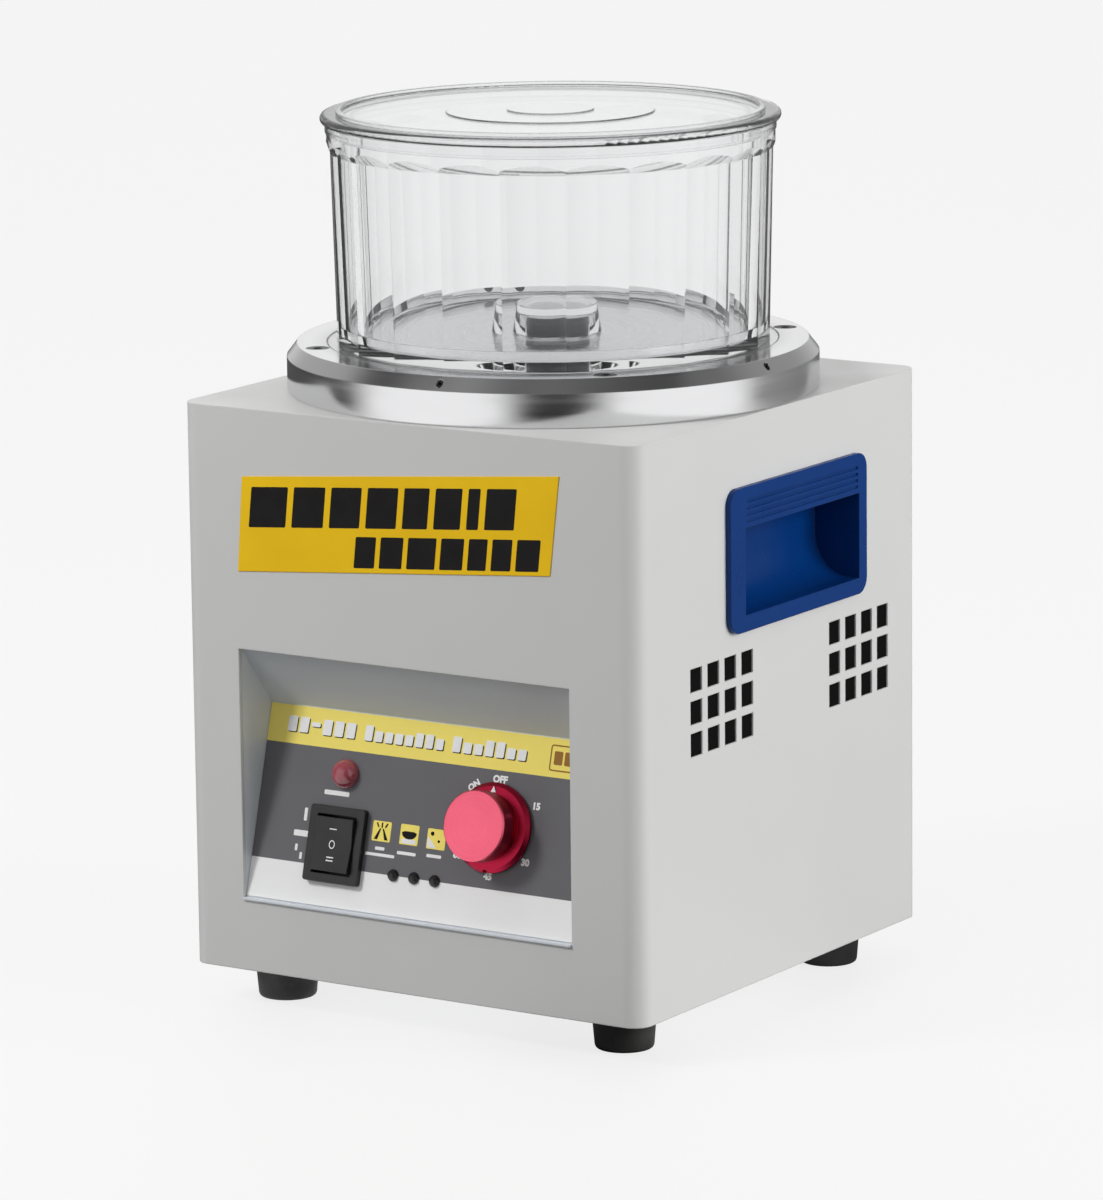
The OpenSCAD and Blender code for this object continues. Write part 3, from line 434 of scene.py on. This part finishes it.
def on_panel(x, v, out=OVERLAY_T, turn=0.0, tilt=0.0):
    """Frame on the panel: X across, Y up the slope, Z out of it."""
    axes = Matrix((PANEL_RIGHT, PANEL_UP, PANEL_OUT)).transposed().to_4x4()
    at = PANEL_ORIGIN + x * PANEL_RIGHT + v * PANEL_UP + out * PANEL_OUT
    return Matrix.Translation(at) @ axes @ Matrix.Rotation(turn, 4, "Z") @ Matrix.Rotation(tilt, 4, "X")


# ---------- materials, one per slot ----------

BLACK = (0.012, 0.012, 0.013)
WHITE = (0.94, 0.94, 0.935)
YELLOW = (0.99, 0.82, 0.17)
PANEL_GREY = (0.128, 0.126, 0.136)
WHITE_TOP = 0.0174
YELLOW_FOOT = 0.0678
KNOB_CENTRE = on_panel(*KNOB_AT).translation
KNOB_SHOULDER = 0.0155
KNOB_BLEND = 0.0006


def overlay_material():
    """Printed polycarbonate: a pale strip below, dark grey, and a yellow strip above."""
    s = Shader("overlay_print", 0.36, Specular_IOR_Level=0.3)
    offset = s.vector("SUBTRACT", s.place, tuple(PANEL_ORIGIN))
    up = s.vector("DOT_PRODUCT", offset, tuple(PANEL_UP), out="Value")
    zones = s.node("ShaderNodeValToRGB")
    stops = [(0.0, WHITE), (WHITE_TOP / PANEL_LEN, PANEL_GREY), (YELLOW_FOOT / PANEL_LEN, YELLOW)]
    fill_ramp(zones, stops, constant=True)
    s.feed(zones.inputs[0], s.maths("DIVIDE", up, PANEL_LEN))
    faded = s.mix(s.maths("MULTIPLY", s.noise(35, 4), 0.10), zones.outputs["Color"], (0.30, 0.30, 0.31))
    film = s.bump(s.noise(1500, 2), 0.00002, 0.5, s.rounded(0.0002))
    return s.finish(faded, s.remap(s.noise(60, 4), 0.3, 0.7, 0.30, 0.44), film)


def rubber_material():
    s = Shader("rubber_black", 0.62)
    dusty = s.mix(s.remap(s.noise(40, 5), 0.45, 0.75, 0, 0.5), (0.010, 0.010, 0.010), (0.05, 0.048, 0.045))
    worn = s.remap(s.noise(90, 3), 0.3, 0.7, 0.5, 0.75)
    return s.finish(dusty, worn, s.bump(s.noise(700, 3), 0.00008, 0.7, s.rounded(0.001)))


def lens_material():
    coat = {"Coat_Weight": 0.6, "Coat_Roughness": 0.05}
    s = Shader("red_lens", 0.12, **coat, Subsurface_Weight=0.25, Subsurface_Scale=0.002)
    depth = s.mix(s.noise(160, 3), (0.27, 0.045, 0.062), (0.43, 0.09, 0.12))
    smeared = s.remap(s.noise(90, 3), 0.3, 0.7, 0.08, 0.2)
    return s.finish(depth, smeared, s.bump(s.noise(420, 2), 0.00006, 0.4))


def copper_material():
    s = Shader("winding_copper", 0.3, 0.9)
    wave = s.node("ShaderNodeTexWave", wave_type="RINGS", rings_direction="Z")
    s.feed(wave.inputs["Vector"], s.place)
    wave.inputs["Scale"].default_value = 320
    wave.inputs["Distortion"].default_value = 1.5
    turns = wave.outputs[1]
    return s.finish(s.mix(turns, (0.30, 0.11, 0.03), (0.62, 0.27, 0.10)), 0.32, s.bump(turns, 0.0003, 0.8))


def stacked_material():
    s = Shader("lamination", 0.45, 1.0)
    wave = s.node("ShaderNodeTexWave", bands_direction="Z")
    s.feed(wave.inputs["Vector"], s.place)
    wave.inputs["Scale"].default_value = 300
    wave.inputs["Distortion"].default_value = 0.3
    layers = wave.outputs[1]
    tone = s.mix(layers, (0.14, 0.14, 0.15), (0.32, 0.32, 0.33))
    return s.finish(tone, s.remap(s.noise(80, 3), 0, 1, 0.35, 0.6), s.bump(layers, 0.0001, 0.7))


def knob_material():
    s = Shader("red_anodised", 0.25, 1.0)
    radius, along = axis_distance(s, KNOB_CENTRE, PANEL_OUT)
    both = s.node("ShaderNodeCombineXYZ")
    s.feed(both.inputs[0], s.maths("MULTIPLY", radius, 2400))
    s.feed(both.inputs[1], s.maths("MULTIPLY", along, 2400))
    grooves = s.noise(1, 2, place=both.outputs[0])
    face = s.mix(grooves, (0.90, 0.13, 0.205), (0.98, 0.18, 0.275))
    skirt = s.mix(grooves, (0.40, 0.012, 0.045), (0.50, 0.02, 0.06))
    raised = s.remap(along, KNOB_SHOULDER, KNOB_SHOULDER + KNOB_BLEND, 0.0, 1.0)
    tone = s.mix(raised, skirt, face)
    uneven = s.remap(s.noise(60, 3), 0.3, 0.7, 0.26, 0.40)
    return s.finish(tone, uneven, s.bump(grooves, 0.00003, 0.6, s.rounded(0.0004)))


BOWL_CENTRE = (0, 0, 0)
UPRIGHT = (0, 0, 1)
PAINT = (0.63, 0.632, 0.622)
# Recess grey: the cabinet paint made paler and bluer, as painted fill light that offsets the recess's shade
# and the yellow strip's warm bounce.
RECESS_WITH_PAINTED_LIGHT = (0.70, 0.74, 0.78)
MATERIALS = {
    "cabinet_paint": painted("cabinet_paint", PAINT),
    "recess_paint": painted("recess_paint", RECESS_WITH_PAINTED_LIGHT, 0.40),
    "overlay_print": overlay_material(),
    "label_print": plastic(
        "label_print", (0.98, 0.58, 0.014), 0.4, grain=0.00001, Specular_IOR_Level=0.15
    ),
    "turned_aluminium": turned(
        "turned_aluminium", (0.83, 0.83, 0.84), BOWL_CENTRE, UPRIGHT, 0.17, around=True
    ),
    "brushed_deck": turned(
        "brushed_deck", (0.93, 0.93, 0.94), BOWL_CENTRE, UPRIGHT, 0.26, 1500, around=True
    ),
    "zinc_steel": metal("zinc_steel", (0.58, 0.59, 0.60), 0.34, (900, 60, 60)),
    "black_steel": metal("black_steel", (0.045, 0.045, 0.05), 0.35),
    "rubber_black": rubber_material(),
    "black_plastic": plastic("black_plastic", BLACK, 0.36),
    "red_lens": lens_material(),
    "red_anodised": knob_material(),
    "timer_case": plastic("timer_case", (0.62, 0.58, 0.48), 0.5),
    "blue_plastic": plastic(
        "blue_plastic", (0.001, 0.033, 0.168), 0.32, edge_radius=0.0008, worn=0.10, Specular_IOR_Level=0.2
    ),
    "clear_plastic": clear("clear_plastic", (0.942, 0.947, 0.949)),
    "shaft_steel": metal("shaft_steel", (0.66, 0.66, 0.67), 0.2),
    "cast_alloy": metal("cast_alloy", (0.52, 0.53, 0.55), 0.42, (400, 400, 400), 0.00006),
    "motor_paint": painted("motor_paint", (0.03, 0.034, 0.04), 0.4),
    "lamination": stacked_material(),
    "winding_copper": copper_material(),
    "magnet_nickel": metal("magnet_nickel", (0.55, 0.55, 0.56), 0.18),
    "brass_parts": metal("brass_parts", (0.60, 0.42, 0.16), 0.28),
    "fuse_glass": clear("fuse_glass", (0.93, 0.95, 0.95)),
    "board_green": plastic("board_green", (0.010, 0.09, 0.028), 0.35),
    "component_blue": plastic("component_blue", (0.015, 0.035, 0.10), 0.4),
    "capacitor_can": metal("capacitor_can", (0.60, 0.60, 0.61), 0.3),
    "wire_black": plastic("wire_black", (0.02, 0.02, 0.022), 0.45),
}
for row in SUBPARTS:
    mesh = NODES[row["node"]].data
    mesh.materials.clear()
    mesh.materials.append(MATERIALS[row["material_slot"]])

boss = NODES["centre_boss"].data
boss.materials.clear()
boss.materials.append(turned("boss_dark", (0.09, 0.09, 0.095), BOWL_CENTRE, UPRIGHT, 0.4, 1500))

# ---------- mesh helpers ----------


def piece(name, bm, body, material, smooth_angle=None):
    """Turns a bmesh into a piece that rides on a body and wears the given material."""
    bmesh.ops.recalc_face_normals(bm, faces=bm.faces)
    mesh = bpy.data.meshes.new(name)
    bm.to_mesh(mesh)
    bm.free()
    if smooth_angle:
        mesh.shade_smooth()
        mesh.set_sharp_from_angle(angle=smooth_angle)
    mesh.materials.append(material)
    made = bpy.data.objects.new(name, mesh)
    scene.collection.objects.link(made)
    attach(made, body)
    return made


def add_slab(bm, outline, at, thick=0.00006):
    """A thin closed plate with this outline, on the XY plane of a frame."""
    low = [bm.verts.new(at @ Vector((x, y, 0))) for x, y in outline]
    high = [bm.verts.new(at @ Vector((x, y, thick))) for x, y in outline]
    bm.faces.new(list(reversed(low)))
    bm.faces.new(high)
    for i in range(len(outline)):
        k = (i + 1) % len(outline)
        bm.faces.new([low[i], low[k], high[k], high[i]])


def bar(w, h, r=0.0, slant=0.0, steps=3):
    """Outline of a bar centred on the origin, with round corners and a lean to the right."""
    r = min(r, w / 2 - 1e-6, h / 2 - 1e-6)
    if r <= 0:
        points = [(-w / 2, -h / 2), (w / 2, -h / 2), (w / 2, h / 2), (-w / 2, h / 2)]
    else:
        points = []
        for quarter, (sx, sy) in enumerate([(1, -1), (1, 1), (-1, 1), (-1, -1)]):
            for i in range(steps + 1):
                a = (quarter - 1 + i / steps) * pi / 2
                points.append((sx * (w / 2 - r) + r * cos(a), sy * (h / 2 - r) + r * sin(a)))
    return [(x + slant * y, y) for x, y in points]


def disc(r, n=24, squash=1.0):
    """Outline of a disc, or of an oval where squash is not 1."""
    return [(r * cos(2 * pi * i / n), r * squash * sin(2 * pi * i / n)) for i in range(n)]


def add_hoop(bm, outer, inner, at, thick=0.00006):
    """A flat ring between two outlines with the same number of points."""
    rows = [
        [bm.verts.new(at @ Vector((x, y, z))) for x, y in outline]
        for outline, z in [(outer, 0), (outer, thick), (inner, thick), (inner, 0)]
    ]
    n = len(outer)
    for a, b in zip(rows, rows[1:] + rows[:1]):
        for i in range(n):
            bm.faces.new([a[i], a[(i + 1) % n], b[(i + 1) % n], b[i]])


def add_digits(bm, text, size, at):
    """Plain numerals and ON / OFF marks, as thin raised print."""
    curve = bpy.data.curves.new("print", "FONT")
    curve.body = text
    curve.size = size
    curve.align_x = "CENTER"
    curve.align_y = "CENTER"
    curve.offset = size * 0.055
    curve.extrude = 0.00003
    curve.resolution_u = 3
    holder = bpy.data.objects.new("print", curve)
    mesh = bpy.data.meshes.new_from_object(holder)
    mesh.transform(at)
    bm.from_mesh(mesh)
    bpy.data.objects.remove(holder)
    bpy.data.curves.remove(curve)
    bpy.data.meshes.remove(mesh)


# ---------- soft edges on the CAD shapes ----------

WELD = 0.000002
DECK_GAP = 0.00015
SKIN = 0.0001
SHARP = radians(28)
shell_lo, shell_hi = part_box("housing_shell")


def soften(node, body, width, steps=2, chosen=lambda edge: True):
    """Puts a copy of a CAD node with rounded edges in its place."""
    source = NODES[node]
    bm = bmesh.new()
    bm.from_mesh(source.data)
    bmesh.ops.remove_doubles(bm, verts=bm.verts, dist=WELD)
    bmesh.ops.dissolve_limit(bm, angle_limit=radians(0.4), verts=bm.verts, edges=bm.edges)
    sharp = [e for e in bm.edges if len(e.link_faces) == 2 and e.calc_face_angle() > SHARP and chosen(e)]
    bmesh.ops.bevel(
        bm, geom=sharp, offset=width, segments=steps, profile=0.5, affect="EDGES", clamp_overlap=True
    )
    row = next(row for row in SUBPARTS if row["node"] == node)
    made = piece(node + "_soft", bm, body, MATERIALS[row["material_slot"]], SHARP)
    even = made.modifiers.new("even", "WEIGHTED_NORMAL")
    even.keep_sharp = True
    even.weight = 100
    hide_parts(node)
    return made


def on_outside(edge):
    """True for the shell's edges along its outer skin."""
    beyond = [[abs(v.co.x) - shell_hi.x, abs(v.co.y) - shell_hi.y, v.co.z - shell_hi.z] for v in edge.verts]
    return all(max(gaps) > -SKIN for gaps in beyond)


soften("housing_shell", "cabinet", 0.0007, 2, on_outside)
for side in ("left", "right"):
    soften(f"handle_{side}", "cabinet", 0.0009, 3)
soften("bowl_ring", "cabinet", 0.0004)
soften("rear_panel", "cabinet", 0.0004)
deck = soften("deck_plate", "cabinet", 0.0003)
deck.data.transform(Matrix.Translation((0, 0, -DECK_GAP)))
soften("switch_body", "cabinet", 0.0006)
soften("switch_rocker", "rocker", 0.0005)
soften("mains_inlet", "cabinet", 0.0006)
for corner in ("front_left", "front_right", "rear_left", "rear_right"):
    soften(f"foot_{corner}", "cabinet", 0.0008)
soften("timer_knob", "timer", 0.00035)

# ---------- painted shade: black blocks inside the vents ---

VENT_W = 0.0094
VENT_H = 0.0101
VENT_PITCH_Y = 0.01373
VENT_PITCH_Z = 0.0138
VENT_FIT = 0.00005
VENT_SUNK = 0.0008
VENT_DEEP = 0.0024
FACE_X = 0.1155
REAR_FACE = 0.1185
SIDE_VENT_Y = (-0.0758, 0.0384)
SIDE_VENT_Z = 0.1265
REAR_VENT_Z = 0.176


def add_block(bm, lo, hi):
    """A closed box between two corners."""
    made = bmesh.ops.create_cube(bm, size=1)
    size = Vector(hi) - Vector(lo)
    bmesh.ops.scale(bm, vec=size, verts=made["verts"])
    bmesh.ops.translate(bm, vec=Vector(lo) + size / 2, verts=made["verts"])


# Black blocks just inside each vent slot: painted shade for the dark inside of the cabinet.
bm = bmesh.new()
for row in range(3):
    low_z = SIDE_VENT_Z + row * VENT_PITCH_Z + VENT_FIT
    high_z = low_z + VENT_H - 2 * VENT_FIT
    for low_y in [first + column * VENT_PITCH_Y + VENT_FIT for first in SIDE_VENT_Y for column in range(4)]:
        high_y = low_y + VENT_W - 2 * VENT_FIT
        add_block(bm, (FACE_X - VENT_DEEP, low_y, low_z), (FACE_X - VENT_SUNK, high_y, high_z))
        add_block(bm, (VENT_SUNK - FACE_X, low_y, low_z), (VENT_DEEP - FACE_X, high_y, high_z))
    low_z += REAR_VENT_Z - SIDE_VENT_Z
    high_z += REAR_VENT_Z - SIDE_VENT_Z
    for column in range(-3, 3):
        low_x = (column + 0.5) * VENT_PITCH_Y - VENT_W / 2 + VENT_FIT
        high_x = low_x + VENT_W - 2 * VENT_FIT
        add_block(bm, (low_x, REAR_FACE - VENT_DEEP, low_z), (high_x, REAR_FACE - VENT_SUNK, high_z))
VENT_SHADE_BLACK = plastic("vent_painted_shade", (0.004, 0.004, 0.004), 0.7, Specular_IOR_Level=0.05)
piece("vent_shade_blocks", bm, "cabinet", VENT_SHADE_BLACK)

# ---------- badge on the front ----------

PRINT_LIFT = 0.00001
label_lo, label_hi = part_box("front_label")


def front_at(x, z):
    """Frame on the badge's face: X across, Y up, Z out of the front."""
    axes = Matrix(((1, 0, 0), (0, 0, -1), (0, 1, 0))).to_4x4()
    return Matrix.Translation((x, label_lo.y - PRINT_LIFT, z)) @ axes


def block_row(bm, widths, x0, x1, z0, z1, height, slant):
    """Slanted blocks of these shares from x0 to x1, on a foot line that rises from z0 to z1."""
    gap = 0.22
    total = sum(widths) + gap * (len(widths) - 1)
    unit = (x1 - x0) / total
    x = x0
    rise = atan((z1 - z0) / (x1 - x0))
    for share in widths:
        w = share * unit
        middle = x + w / 2
        foot = z0 + (middle - x0) * (z1 - z0) / (x1 - x0)
        at = front_at(middle, foot + height / 2) @ Matrix.Rotation(rise, 4, "Z")
        add_slab(bm, bar(w, height, 0.0006, slant), at)
        x += w + gap * unit


def ink(name, colour, rough=0.4, level=0.5):
    """Screen-printed ink: slightly worn, with a fine tooth."""
    s = Shader(name, rough, Specular_IOR_Level=level)
    worn = s.mix(s.remap(s.noise(220, 4), 0.5, 0.8, 0.0, 0.35), colour, shade(colour, 0.7))
    uneven = s.remap(s.noise(120, 3), 0.3, 0.7, rough - 0.06, rough + 0.1)
    return s.finish(worn, uneven, s.bump(s.noise(1600, 2), 0.00001, 0.5))


INK_WHITE = ink("ink_white", (0.90, 0.90, 0.89))
INK_BLACK = ink("ink_black", (0.010, 0.009, 0.009), 0.5, 0.12)
INK_YELLOW = ink("ink_yellow", YELLOW)

bm = bmesh.new()
block_row(bm, [1.35, 1.15, 1.1, 1.1, 0.9, 0.95, 0.42, 1.05], -0.0790, 0.0563, 0.2139, 0.2249, 0.0174, 0.19)
block_row(bm, [0.95, 1.05, 1.3, 1.05, 0.85, 0.9, 1.05], -0.0252, 0.0680, 0.2012, 0.2084, 0.0134, 0.19)
piece("badge_bars", bm, "cabinet", INK_BLACK)

# ---------- print on the control panel ----------

INK_LIFT = OVERLAY_T + PRINT_LIFT
SECOND_INK = 0.00008
DIGIT_LIFT = INK_LIFT + 0.00003
TITLE_V = 0.0733
TITLE_H = 0.0067
# Words of the title: left end, right end, share of the full height for each block.
TITLE_WORDS = [
    (-0.0767, -0.0403, [1, 1, 0.3, 1, 1, 1]),
    (-0.0365, 0.0051, [1, 0.7, 0.7, 0.7, 0.7, 0.9, 0.9, 0.7]),
    (0.0085, 0.0472, [1, 0.7, 0.7, 1, 1, 0.7, 0.7]),
]


def title_blocks(bm, dx, dv, lift):
    for x0, x1, heights in TITLE_WORDS:
        pitch = (x1 - x0) / len(heights)
        for i, share in enumerate(heights):
            h = TITLE_H * share
            x = x0 + (i + 0.45) * pitch + dx
            base = TITLE_V + (0.45 * TITLE_H if share < 0.5 else 0) + dv
            add_slab(bm, bar(pitch * 0.76, h, 0.0006, 0.05), on_panel(x, base + h / 2, lift))


bm = bmesh.new()
title_blocks(bm, 0.0005, -0.0004, INK_LIFT)
piece("panel_title_shadow", bm, "cabinet", INK_BLACK)

MARK_AT = (0.0649, 0.0763)
MARK_W = 0.0135
MARK_H = 0.0112
MARK_LINE = 0.0006
bm = bmesh.new()
outer = bar(MARK_W, MARK_H, 0.0012)
inner = bar(MARK_W - 2 * MARK_LINE, MARK_H - 2 * MARK_LINE, 0.0007)
add_hoop(bm, outer, inner, on_panel(*MARK_AT, INK_LIFT))
for side in (-1, 1):
    add_slab(bm, bar(0.0042, 0.0058, 0.0006), on_panel(MARK_AT[0] + side * 0.0026, MARK_AT[1], INK_LIFT))
piece("panel_mark", bm, "cabinet", ink("ink_brown", (0.30, 0.13, 0.01)))

bm = bmesh.new()
title_blocks(bm, 0, 0, INK_LIFT + SECOND_INK)
# Bars in place of captions: across, up the panel, width, height.
CAPTIONS = [
    (-0.0467, 0.0493, 0.0128, 0.0020),
    (-0.0212, 0.0283, 0.0048, 0.0014),
    (-0.0208, 0.0256, 0.0150, 0.0013),
    (-0.0074, 0.0277, 0.0096, 0.0014),
    (0.0066, 0.0282, 0.0075, 0.0014),
    (-0.0612, 0.0386, 0.0016, 0.0056),
    (-0.0624, 0.0302, 0.0076, 0.0026),
    (-0.0640, 0.0240, 0.0013, 0.0030),
    (-0.0612, 0.0206, 0.0013, 0.0030),
]
for x, v, w, h in CAPTIONS:
    add_slab(bm, bar(w, h, 0.0004), on_panel(x, v, INK_LIFT))
# The dial's marks: degrees clockwise from the top, text, distance from the knob's axis, size.
DIAL = [(0, "OFF", 0.0206, 0.0041), (-37, "ON", 0.0210, 0.0038), (60, "15", 0.0226, 0.0040)]
DIAL += [(126, "30", 0.0218, 0.0040), (180, "45", 0.0208, 0.0040), (231, "60", 0.0214, 0.0040)]
for turn, text, reach, size in DIAL:
    a = radians(turn)
    tilt = -a if text == "ON" else 0
    at = on_panel(KNOB_AT[0] + reach * sin(a), KNOB_AT[1] + reach * cos(a), DIGIT_LIFT, tilt)
    add_digits(bm, text, size, at)
piece("panel_print_white", bm, "cabinet", INK_WHITE)

PICTURES = [(-0.0213, 0.0357), (-0.0071, 0.0358), (0.0068, 0.0355)]
PICTURE_W = 0.0094
PICTURE_H = 0.0087
bm = bmesh.new()
for x, v in PICTURES:
    add_slab(bm, bar(PICTURE_W, PICTURE_H, 0.0006), on_panel(x, v, INK_LIFT))
piece("panel_pictures_yellow", bm, "cabinet", INK_YELLOW)

OVER_PICTURE = INK_LIFT + SECOND_INK
bm = bmesh.new()
for side in (-1, 1):
    wedge = [(0.0004, 0.0012), (0.0010, 0.0012), (0.0036, -0.0036), (0.0018, -0.0036)]
    add_slab(bm, [(side * x, y) for x, y in wedge], on_panel(*PICTURES[0], OVER_PICTURE))
for k in (-1, 0, 1):
    at = on_panel(PICTURES[0][0] + k * 0.0022, PICTURES[0][1] + 0.0026, OVER_PICTURE, -k * 0.5)
    add_slab(bm, bar(0.0007, 0.0022), at)
bowl_line = [(0.0038 * cos(pi + i * pi / 12), 0.0028 * sin(pi + i * pi / 12)) for i in range(13)]
bowl_line += [(0.0024, 0.0006), (-0.0024, 0.0006)]
add_slab(bm, bowl_line, on_panel(PICTURES[1][0], PICTURES[1][1] + 0.0008, OVER_PICTURE))
add_slab(bm, disc(0.0009), on_panel(PICTURES[2][0] - 0.0022, PICTURES[2][1] + 0.0022, OVER_PICTURE))
add_slab(bm, disc(0.0006), on_panel(PICTURES[2][0] + 0.0014, PICTURES[2][1] - 0.0008, OVER_PICTURE))
piece("panel_pictures_black", bm, "cabinet", INK_BLACK)

bm = bmesh.new()
add_slab(bm, bar(0.0072, 0.0020, 0.0003), on_panel(PICTURES[1][0], PICTURES[1][1] - 0.0029, OVER_PICTURE))
corner = [(-0.0042, -0.0038), (0.0006, -0.0038), (-0.0042, 0.0008)]
add_slab(bm, corner, on_panel(*PICTURES[2], OVER_PICTURE))
piece("panel_pictures_white", bm, "cabinet", INK_WHITE)

# ---------- marks on the rocker and the knob ----------

ROCKER_CREST = 0.004
ROCKER_SLOPE = 0.0013 / 0.0116
SWITCH_FACE = OVERLAY_T


def on_rocker(v):
    """Frame on the rocker's face, v up from its crest."""
    out = SWITCH_FACE + ROCKER_CREST + abs(v) * ROCKER_SLOPE + PRINT_LIFT
    lean = atan(ROCKER_SLOPE) * (1 if v > 0 else -1 if v < 0 else 0)
    return on_panel(SWITCH_AT[0], SWITCH_AT[1] + v, out, tilt=lean)


bm = bmesh.new()
add_slab(bm, bar(0.0036, 0.0005), on_rocker(0.0066))
for k in (-1, 1):
    add_slab(bm, bar(0.0036, 0.0005), on_rocker(-0.0063) @ Matrix.Translation((0, k * 0.0007, 0)))
piece("rocker_marks", bm, "rocker", INK_WHITE)
bm = bmesh.new()
ring_at = on_panel(*SWITCH_AT, SWITCH_FACE + ROCKER_CREST + 2 * ROCKER_SLOPE * 0.001 + PRINT_LIFT)
add_hoop(bm, disc(0.0015, 24, 1.25), disc(0.0011, 24, 1.3), ring_at, 0.00012)
piece("rocker_mark_off", bm, "rocker", INK_WHITE)

SKIRT_OUT = OVERLAY_T + 0.0042
bm = bmesh.new()
add_slab(bm, [(-0.0013, 0.0150), (0.0013, 0.0150), (0.0, 0.0176)], on_panel(*KNOB_AT, SKIRT_OUT), 0.0002)
piece("knob_pointer", bm, "timer", INK_WHITE)

# ---------- floor ----------

FLOOR_SIZE = 30.0
FLOOR_GLOW = 0.79
FLOOR_THROUGH = 0.735
FLOOR_SWING = 0.05
FLOOR_WAVES = 7.0
floor_mesh = bpy.data.meshes.new("floor")
edge = FLOOR_SIZE / 2
corners = [(-edge, -edge, 0), (edge, -edge, 0), (edge, edge, 0), (-edge, edge, 0)]
floor_mesh.from_pydata(corners, [], [(0, 1, 2, 3)])
floor = bpy.data.objects.new("floor", floor_mesh)
scene.collection.objects.link(floor)
s = Shader("floor", 0.65)
pale = s.mix(s.noise(3, 2), (0.095, 0.095, 0.095), (0.10, 0.10, 0.10))
floor_mesh.materials.append(s.finish(pale, 0.65, s.bump(s.noise(260, 2), 0.00004, 0.3)))
glow = s.node("ShaderNodeEmission")
split = s.node("ShaderNodeSeparateXYZ")
s.feed(split.inputs[0], s.place)
bearing = s.maths("ARCTAN2", split.outputs["Y"], split.outputs["X"])
waves = s.maths("SINE", s.maths("MULTIPLY", bearing, FLOOR_WAVES))
rolling = s.maths("MULTIPLY_ADD", waves, FLOOR_SWING, FLOOR_THROUGH)
through = s.node("ShaderNodeLightPath").outputs["Is Transmission Ray"]
change = s.maths("SUBTRACT", rolling, FLOOR_GLOW)
s.feed(glow.inputs["Color"], s.maths("MULTIPLY_ADD", through, change, FLOOR_GLOW))
lit = s.node("ShaderNodeAddShader")
s.feed(lit.inputs[0], s.bsdf.outputs[0])
s.feed(lit.inputs[1], glow.outputs[0])
mirrored = s.node("ShaderNodeEmission")
s.feed(mirrored.inputs["Color"], studio_walls(s.tree, s.place, LOW_WALLS))
path = s.node("ShaderNodeLightPath")
glossy = s.node("ShaderNodeMixShader")
s.feed(glossy.inputs[0], path.outputs["Is Diffuse Ray"])
s.feed(glossy.inputs[1], mirrored.outputs[0])
s.feed(glossy.inputs[2], s.bsdf.outputs[0])
choose = s.node("ShaderNodeMixShader")
s.feed(choose.inputs[0], seen_directly(s.tree))
s.feed(choose.inputs[1], glossy.outputs[0])
s.feed(choose.inputs[2], lit.outputs[0])
s.feed(next(n for n in s.tree.nodes if n.type == "OUTPUT_MATERIAL").inputs["Surface"], choose.outputs[0])
